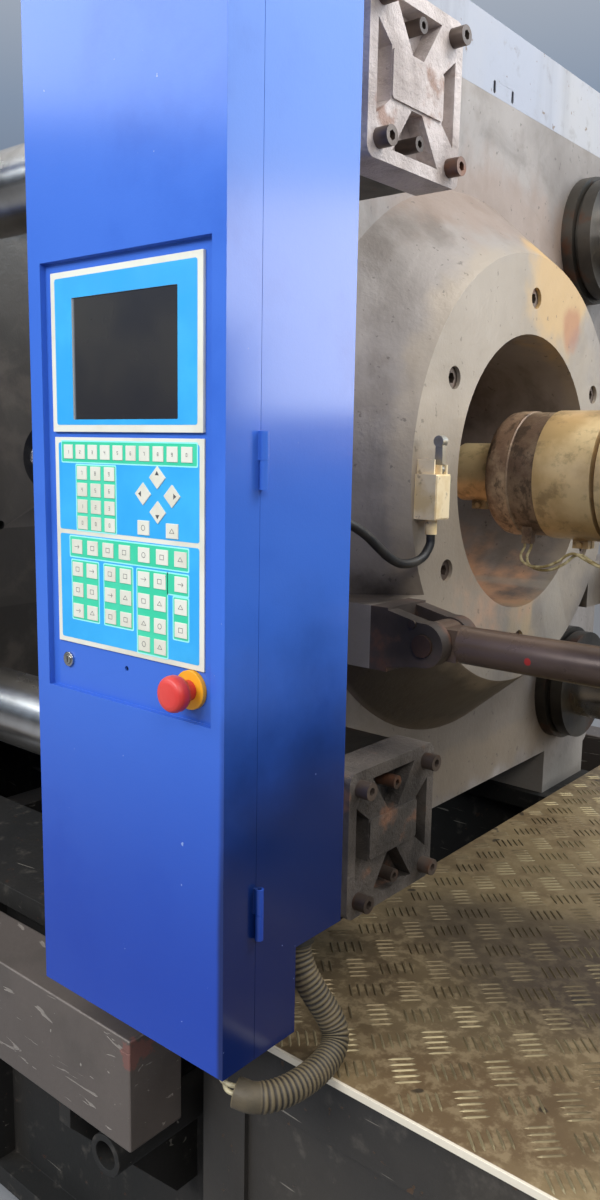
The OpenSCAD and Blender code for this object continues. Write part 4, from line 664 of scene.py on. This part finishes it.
number_keys = [7, 4, 1, 0, 8, 5, 2, 0, 9, 6, 3, 0]
row_start, row_pitch = 26.1, 22.2
for i in range(10):
    digit((i + 1) % 10, row_start + row_pitch * i - 0.8, 18.5)
block_x, block_y = 50.8, 40.6
block_pitch_x, block_pitch_y = 24.5, 19.2
for i in range(3):
    for j in range(4):
        x = block_x + block_pitch_x * i - 1
        y = block_y + block_pitch_y * j + 2
        digit(number_keys[4 * i + j], x, y, size=2)
octagon = [(3 * math.cos(k * math.pi / 4), 3 * math.sin(k * math.pi / 4)) for k in range(9)]
box_mark = [(-3, -2.5), (3, -2.5), (3, 2.5), (-3, 2.5), (-3, -2.5)]
wedge_mark = [(-3.5, 2), (0, -2.5), (3.5, 2), (-3.5, 2)]
arrow_mark = [(-4, 0), (4, 0), (2, -2), (4, 0), (2, 2)]
key_shapes = [box_mark, wedge_mark, octagon, arrow_mark]
chance = random.Random(7)
plain_keys = [(157, 97), (203, 97.7)] + [(x, 127) for x in (39.2, 68, 95.8, 124.5, 157.3, 187, 216)]
plain_keys += [(x, y) for x in (39.8, 66, 99, 125.8, 156.8, 183) for y in (153.8, 178.3, 203.4)]
plain_keys += [(216.3, 153.8), (216.3, 178.3), (216.3, 203.4), (156.8, 226.8), (183, 226.8)]
for x, y in plain_keys:
    corners = key_shapes[chance.randrange(4)]
    for (a, b), (c, d) in zip(corners, corners[1:]):
        stroke(x + a, y + b, x + c, y + d, wide=0.5)
tip_reach, foot_reach, foot_half = 7.2, 2.6, 3.2
for x, y, dx, dy in [(180, 41.7, 0, -1), (156.7, 60, -1, 0), (203, 60.7, 1, 0), (180.3, 79, 0, 1)]:
    tip = (x + tip_reach * dx, y + tip_reach * dy)
    foot_a = (x + foot_reach * dx + foot_half * dy, y + foot_reach * dy + foot_half * dx)
    foot_b = (x + foot_reach * dx - foot_half * dy, y + foot_reach * dy - foot_half * dx)
    marks.append([(pad_left + a / 1000, pad_high - b / 1000) for a, b in (tip, foot_a, foot_b)])
ink = printed("ink", "3A3A3E", "55555A", rough=0.5)
printed_marks = film(marks, key_face, layer)
add_mesh("key_marks", *printed_marks, ink, "cabinet_front", "keys", smooth=False)

# Key switch and stop button
# A chromed ring with its lock, and a red plastic mushroom-head button in a yellow collar, both set in
# the cabinet's front under the keypad.
shader = Shader("plated", rough=0.14, metal=1.0)
plated_metal = shader.done(shader.mix(shader.patches(40, 0.4, 0.7), "C9C7C2", "908B84"))
dress("key_ring", plated_metal, edge=0.0006)
dress("key_plug", plated_metal, edge=0.0003)
dress("stop_collar", printed("yellow plastic", "E8A424", "D8921C", rough=0.4), edge=0.0006)
dress("stop_button", printed("red plastic", "C8342F", "D24A44", rough=0.35), edge=0.0005)

# Glands
# Two turned steel glands with hexagon nuts: one for the hose under the cabinet's rear step, and one for
# the limit switch's cable in its back.
gland_steel = bare_steel("gland", "57564F", "2C2B28", "6B5A3F", rough=0.45, metal=0.4, rust_share=0.5)
dress("hose_gland", gland_steel, edge=0.0008)

# Control hose
# A grey corrugated conduit of 36 mm that leaves a gland under the cabinet's rear step, loops over the
# deck and ends, bound with tape, under the cabinet's front corner. Dust and oil lie in its ribs.


def smooth_path(points, step):
    """Points along a curve through the given ones, about one step apart."""
    p = [Vector(q) for q in points]
    p = [2 * p[0] - p[1]] + p + [2 * p[-1] - p[-2]]
    line = []
    for a, b, c, d in zip(p, p[1:], p[2:], p[3:]):
        count = max(2, math.ceil((c - b).length / step))
        for k in range(count):
            t = k / count
            line.append(0.5 * (2 * b + (c - a) * t + (2 * a - 5 * b + 4 * c - d) * t * t
                               + (3 * b - a - 3 * c + d) * t ** 3))
    return line + [p[-2]]


def path_length(line):
    return sum((b - a).length for a, b in zip(line, line[1:]))


def sweep(line, radius, sides):
    """Points and faces of a closed tube; radius is a number, or one for each point of the line."""
    points, faces = [], []
    side = None
    for i, p in enumerate(line):
        ahead = (line[min(i + 1, len(line) - 1)] - line[max(i - 1, 0)]).normalized()
        if side is None:
            side = ahead.orthogonal().normalized()
        side = (side - ahead * side.dot(ahead)).normalized()
        up = ahead.cross(side)
        r = radius[i] if isinstance(radius, list) else radius
        for k in range(sides):
            turned = 2 * math.pi * k / sides
            points.append(p + r * (math.cos(turned) * side + math.sin(turned) * up))
    for i in range(len(line) - 1):
        for k in range(sides):
            a, b = i * sides + k, i * sides + (k + 1) % sides
            faces.append((a, b, b + sides, a + sides))
    last = (len(line) - 1) * sides
    faces.append(tuple(range(sides - 1, -1, -1)))
    faces.append(tuple(range(last, last + sides)))
    return points, faces


def places(rows, x, y, z, rise):
    """A route from part.scad: offsets along X and Y, and a share of a rise."""
    return [(x + a / 1000, y + b / 1000, z + c * rise) for a, b, c in rows]


hose_shape = [(-32, -45, 1), (-32, -45, 0.955), (-30, -46, 0.87), (-21, -45, 0.7), (-8, -37, 0.5),
              (3, -27, 0.32), (12, -23, 0.17), (19, -32, 0.06), (24, -53, 0.01), (27, -85, 0), (25, -117, 0),
              (16, -145, 0), (2, -163, 0.01), (-16, -171, 0.03)]
cabinet_back = cabinet_high[1]
hose_radius = 0.018
hose_gap = 0.0005
hose_low = deck_high[2] + hose_radius + hose_gap
gland_rise = rest_box("hose_gland")[0][2] - hose_low
hose_route = places(hose_shape, cabinet_right, cabinet_back, hose_low, gland_rise)
hose_line = smooth_path(hose_route, step=0.0011)
hose_reach = path_length(hose_line)
tape_length, tape_radius = 0.03, 0.0172
valley_radius, rib_rise, rib_pitch = 0.0152, 0.0026, 0.0064
ribs = []
along = 0.0
for i, p in enumerate(hose_line):
    along += (p - hose_line[i - 1]).length if i else 0.0
    rib = valley_radius + rib_rise * abs(math.sin(math.pi * along / rib_pitch)) ** 0.6
    ribs.append(tape_radius if hose_reach - along < tape_length else rib)
shader = Shader("conduit")
dirt = shader.patches(38, 0.42, 0.62, detail=6)
colour = shader.mix(dirt, "2A2520", "4A3F30")
colour = shader.over(colour, "28241F", shader.patches(9, 0.45, 0.7, detail=3, shift=(3, 1, 0)))
light_ribs = shader.worn_edge(0.5, 0.56)
colour = shader.over(colour, "8C7D5C", light_ribs, 0.45)
shader.bump(shader.noise(260, detail=3), depth=0.0004)
conduit = shader.done(colour, shader.uneven(60, 0.45, 0.8, detail=4))
points, faces = sweep(hose_line, ribs, sides=20)
hose = add_mesh("conduit_hose", points, faces, conduit, "machine", "hose_grey")
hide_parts("control_hose")

# Wires out of the hose
# Two leads in cream plastic that come out of the hose's taped end, bend back and go up into the floor
# of the cabinet.
wire_shapes = [[(-16, -171, 0.25), (-22.4, -173.8, 0.255), (-31, -176, 0.28), (-39, -174, 0.36),
                (-45, -165, 0.52), (-47, -153, 0.7), (-47, -143, 0.86), (-47, -141, 0.94), (-47, -141, 1)],
               [(-16, -171, 0.04), (-22.4, -173.8, 0.045), (-31, -173, 0.08), (-38, -166, 0.17),
                (-41, -154, 0.34), (-40, -143, 0.6), (-38, -134, 0.86), (-38, -133, 0.94), (-38, -133, 1)]]
shader = Shader("cream lead", rough=0.5)
colour = shader.mix(shader.patches(70, 0.4, 0.65, detail=4), "B9AE8C", "7B7157")
cream_lead = shader.done(colour)
floor_rise = cabinet_low[2] - hose_low
wire_radius = 0.0029
for i, shape in enumerate(wire_shapes):
    route = places(shape, cabinet_right, cabinet_back, hose_low, floor_rise)
    line = smooth_path(route, step=0.003)
    points, faces = sweep(line, wire_radius, sides=10)
    wire = add_mesh(f"cabinet_wire_{i}", points, faces, cream_lead, "machine", "wire_cream")
    if i == 0:
        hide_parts("hose_wires")

# Limit switch and its lever
# A cast switch box in aged cream enamel, fixed to the platen's ring with a thin bracket on its top. A
# steel lever on a pin carries its roller.
shader = Shader("switch enamel")
colour = shader.mix(shader.patches(26, 0.4, 0.66, detail=6), "FFEBC4", "E9CD97")
colour = shader.over(colour, "7B6040", shader.patches(60, 0.6, 0.7, shift=(2, 2, 2)), 0.6)
colour = shader.over(colour, "B09A74", shader.worn_edge(0.53, 0.6), 0.3)
dress("limit_switch", shader.done(colour, shader.uneven(40, 0.35, 0.6)), edge=0.0012)
lever_steel = bare_steel("lever steel", "A8A59B", "6E6A62", "7B6A50", rough=0.35, metal=0.6, rust_share=0.4)
dress("switch_lever", lever_steel, edge=0.0006)

# Limit switch cable
# A black rubber cable, clamped in the switch's gland and in a gland in the cabinet's back. It hangs in
# a bow between them.
cable_shape = [(0, 0, 0), (0, 0, -6), (0, 0.006, -17), (0.02, 0.053, -33), (0.04, 0.13, -40),
               (0.055, 0.227, -39), (0.07, 0.317, -28), (0.09, 0.4, -11), (0.13, 0.48, 7), (0.2, 0.575, 23),
               (0.35, 0.668, 33), (0.53, 0.76, 39), (0.75, 0.854, 42), (0.93, 0.93, 42), (1, 0.98, 42),
               (1, 1, 42)]
switch_low = rest_box("limit_switch")[0]
cable_start = (switch_low[0] + 0.02, switch_low[1] + 0.0185, switch_low[2])
cable_end = (0.326, cabinet_back + 0.018)
cable_radius = 0.0069
route = [(cable_start[0] + a * (cable_end[0] - cable_start[0]),
          cable_start[1] + b * (cable_end[1] - cable_start[1]),
          cable_start[2] + c / 1000) for a, b, c in cable_shape]
line = smooth_path(route, step=0.004)
shader = Shader("black rubber")
colour = shader.mix(shader.patches(25, 0.45, 0.7), "17181A", "3A3630")
shader.bump(shader.noise(180, detail=3), depth=0.0003)
black_rubber = shader.done(colour, shader.uneven(40, 0.35, 0.7))
points, faces = sweep(line, cable_radius, sides=14)
cable = add_mesh("limit_cable", points, faces, black_rubber, "machine", "cable_black")
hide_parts("switch_cable")

# Clevis blocks, pins and pull rods
# Flame-cut clevises bolted to pads on the platen, a headed pin through each, and the rods of the pull
# cylinders with their eyes. Dark with oil; the pins' heads have rusted.
oiled_iron = bare_steel("oiled iron", "4B403A", "2A2420", "6B4734", rough=0.58, metal=0.1, rust_share=0.6)
dress("clevis_blocks", oiled_iron, edge=0.0025)
pin_steel = bare_steel("pin steel", "5B4337", "3A2C26", "8A4A34", rough=0.5, metal=0.5, rust_share=0.9)
dress("clevis_pins", pin_steel, edge=0.0015)
shader = Shader("rod steel", metal=0.4)
colour = shader.mix(shader.patches(6, 0.4, 0.65, detail=6, stretch=(0.4, 1, 1)), "66564C", "352A24")
red_dab = shader.spot((0.590, -0.446, 1.222), (0.005, 0.02, 0.006), ragged=0.3, scale=90, soft=0.2)
colour = shader.over(colour, "B23A35", red_dab)
dress("pull_rods", shader.done(colour, shader.uneven(22, 0.18, 0.42)), edge=0.001)
dress("carriage_cylinders", unit_paint, edge=0.0015)

# Nozzle, barrel head and barrel
# Turned nitrided steel, blued and browned by heat: the nozzle with its brass band, the head that is
# screwed to the barrel, and the long barrel under its heater bands, with the bright screw inside it.
shader = Shader("nozzle steel", metal=0.2)
colour = shader.mix(shader.patches(14, 0.4, 0.65), "EBD3A8", "AF9470")
dress("nozzle", shader.done(colour, shader.uneven(20, 0.25, 0.5)), edge=0.001)
hot_steel = bare_steel("heated steel", "8A7460", "5A4A3D", "84543A", rough=0.4, metal=0.45,
                       grain=(0.3, 1, 1))
shader = Shader("barrel head steel", metal=0.3)
colour = shader.mix(shader.patches(9, 0.36, 0.62, detail=8, rough=0.7), "D3B795", "8A6E58")
sooty = shader.patches(34, 0.5, 0.62, detail=7, rough=0.7, stretch=(1.6, 1, 1), shift=(2, 6, 1))
colour = shader.over(colour, "43362A", sooty, 0.65)
colour = shader.over(colour, "2E251D", shader.step(shader.axis("X"), 0.362, 0.367), 0.5)
shader.bump(shader.noise(90, detail=6, rough=0.7), depth=0.0012)
dress("barrel_head", shader.done(colour, shader.uneven(40, 0.28, 0.6)), edge=0.002)
dress("barrel", hot_steel, edge=0.001)
flight_steel = bare_steel("screw flights", "77716A", "4B4641", "5A4636", rough=0.25, metal=0.95,
                          rust_share=0.3)
dress("screw", flight_steel, edge=0.0)

# Heater bands
# Mica bands in brass-coloured sheet, clamped by bolts through lugs underneath. Heat has reddened the
# metal on top and darkened it at the rims.
shader = Shader("band sheet", metal=0.55)
colour = shader.mix(shader.patches(9, 0.36, 0.64, detail=6), "E9D2A4", "B7996C")
top = shader.math("MULTIPLY", shader.step(shader.axis("Z"), 1.55, 1.6), shader.patches(16, 0.35, 0.6))
colour = shader.over(colour, "8A4A38", top, 0.7)
soot = shader.patches(22, 0.5, 0.64, detail=8, rough=0.7, shift=(1, 4, 2))
colour = shader.over(colour, "5A4838", soot, 0.6)
colour = shader.over(colour, "E2C489", shader.worn_edge(0.51, 0.56), 0.5)
shader.bump(shader.noise(40, detail=4), depth=0.0005)
dress("heater_bands", shader.done(colour, shader.uneven(30, 0.22, 0.5)), edge=0.0012)

# Heater wires
# Two cream leads in glass sleeving that hang in loops under the barrel, from the terminal on the
# barrel head to the one among the heater bands.
band_shape = [(0, 0, 0), (0, 0, 7), (-0.02, -4, 20), (0.01, -8, 32), (0.09, -10, 38), (0.2, -10, 36),
              (0.3, -6, 25), (0.36, -4, 14), (0.42, -3, 11), (0.5, -3, 19), (0.62, -3, 29), (0.75, -3, 31),
              (0.88, -2, 24), (0.96, -1, 14), (1, 0, 6), (1, 0, 0)]
head_terminal, band_terminal = 0.385, 0.611
terminal_reach = band_terminal - head_terminal
terminal_low = rest_box("barrel_head")[0][2]
lead_radius = 0.0024
shader = Shader("glass sleeving", rough=0.6)
colour = shader.mix(shader.patches(60, 0.35, 0.6, detail=4), "C9BD92", "8C7B4E")
shader.bump(shader.noise(700, detail=2), depth=0.0004)
sleeving = shader.done(colour)
for i, (shift, y, sag) in enumerate([(-0.004, -0.056, 1.0), (0.004, -0.048, 1.15)]):
    route = [(head_terminal + shift + a * terminal_reach, y + b / 1000, terminal_low - sag * c / 1000)
             for a, b, c in band_shape]
    line = smooth_path(route, step=0.004)
    points, faces = sweep(line, lead_radius, sides=10)
    wire = add_mesh(f"heater_lead_{i}", points, faces, sleeving, "injection", "wire_brown")
    if i == 0:
        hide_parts("heater_wires")

# Injection unit
# Feed housing, injection cylinders, drive plate and hydraulic motor, painted blue, on a grey carriage
# that slides on steel rails; the hopper is brushed stainless steel.
for name in ("feed_housing", "injection_cylinders", "drive_plate", "screw_motor"):
    dress(name, unit_paint, edge=0.003)
dress("carriage", base_paint, edge=0.002)
dress("carriage_rails", old_steel, edge=0.001)
stainless = bare_steel("brushed steel", "B4B2AE", "96938E", "8A857C", rough=0.32, metal=1.0, rust_share=0.2,
                       grain=(1, 1, 8))
dress("hopper", stainless, edge=0.0008)
dress("hopper_lid", stainless, edge=0.0008)

# Switchgear box
# A box of folded sheet steel on the far side of the base, with a shallow door and pressed louvres,
# sprayed blue.
box_paint = old_paint("box paint", "3D5F96", "47689B", "50402F", grime=0.25, rough=0.4)
dress("switchgear_box", box_paint, edge=0.0004)

# Floor, light and room
# A plain pale floor under a pale sky that is dim below the horizon. Windows and lamps high on the
# operator's side and at the injection end light the machine; two small lamps fill in from above.
floor_mesh = bpy.data.meshes.new("floor")
reach = 90
corners = [(-reach, -reach, 0), (reach, -reach, 0), (reach, reach, 0), (-reach, reach, 0)]
floor_mesh.from_pydata(corners, [], [(0, 1, 2, 3)])
shader = Shader("floor", rough=0.7)
pale_floor = shader.done(shader.mix(shader.noise(1.5), "86878A", "8F9093"))
floor_mesh.materials.append(pale_floor)
floor = bpy.data.objects.new("floor", floor_mesh)
bpy.context.scene.collection.objects.link(floor)
world = bpy.data.worlds.new("room")
bpy.context.scene.world = world
world.use_nodes = True
tree = world.node_tree
sky = tree.nodes["Background"]
height = tree.nodes.new("ShaderNodeSeparateXYZ")
ramp = tree.nodes.new("ShaderNodeValToRGB")
tree.links.new(tree.nodes.new("ShaderNodeTexCoord").outputs["Generated"], height.inputs[0])
tree.links.new(height.outputs["Z"], ramp.inputs[0])
ramp.color_ramp.elements[0].position = 0.02
ramp.color_ramp.elements[0].color = linear("2C2C2E")
ramp.color_ramp.elements[1].position = 0.3
ramp.color_ramp.elements[1].color = linear("97A8C0")
ramp.color_ramp.elements.new(0.65).color = linear("FFFFFF")
tree.links.new(ramp.outputs[0], sky.inputs["Color"])
sky.inputs["Strength"].default_value = 0.75


def area_light(name, place, target, size, power, colour):
    """A rectangular lamp at a place, facing a target, with its power in watts."""
    lamp = bpy.data.objects.new(name, bpy.data.lights.new(name, "AREA"))
    bpy.context.scene.collection.objects.link(lamp)
    lamp.data.shape = "RECTANGLE"
    lamp.data.size, lamp.data.size_y = size
    lamp.data.energy = power
    lamp.data.color = colour
    lamp.location = place
    lamp.rotation_euler = (Vector(target) - Vector(place)).to_track_quat("-Z", "Y").to_euler()


area_light("operator_window", place=(-3.9, -5.0, 5.0), target=(0.2, -0.4, 1.6), size=(4.5, 2.6),
           power=170, colour=(0.84, 0.93, 1.0))
area_light("operator_light", place=(0.1, -5.6, 4.4), target=(0.2, -0.6, 1.3), size=(3.0, 2.0),
           power=250, colour=(0.97, 0.98, 1.0))
area_light("end_window", place=(4.1, 3.3, 2.35), target=(0.5, -0.7, 1.6), size=(2.1, 1.5),
           power=76, colour=(1.0, 0.99, 0.96))
area_light("end_sky", place=(4.3, 3.5, 4.7), target=(0.5, -0.7, 1.6), size=(2.1, 3.0),
           power=110, colour=(0.6, 0.79, 1.0))
area_light("crane_light", place=(1.7, 0.4, 3.5), target=(0.25, -0.1, 1.7), size=(1.4, 1.0),
           power=46, colour=(1.0, 0.97, 0.92))
area_light("aisle_light", place=(2.6, -2.4, 3.2), target=(0.35, -0.3, 1.6), size=(1.2, 1.0),
           power=30, colour=(1.0, 0.96, 0.9))
bpy.context.scene.view_settings.view_transform = "Standard"
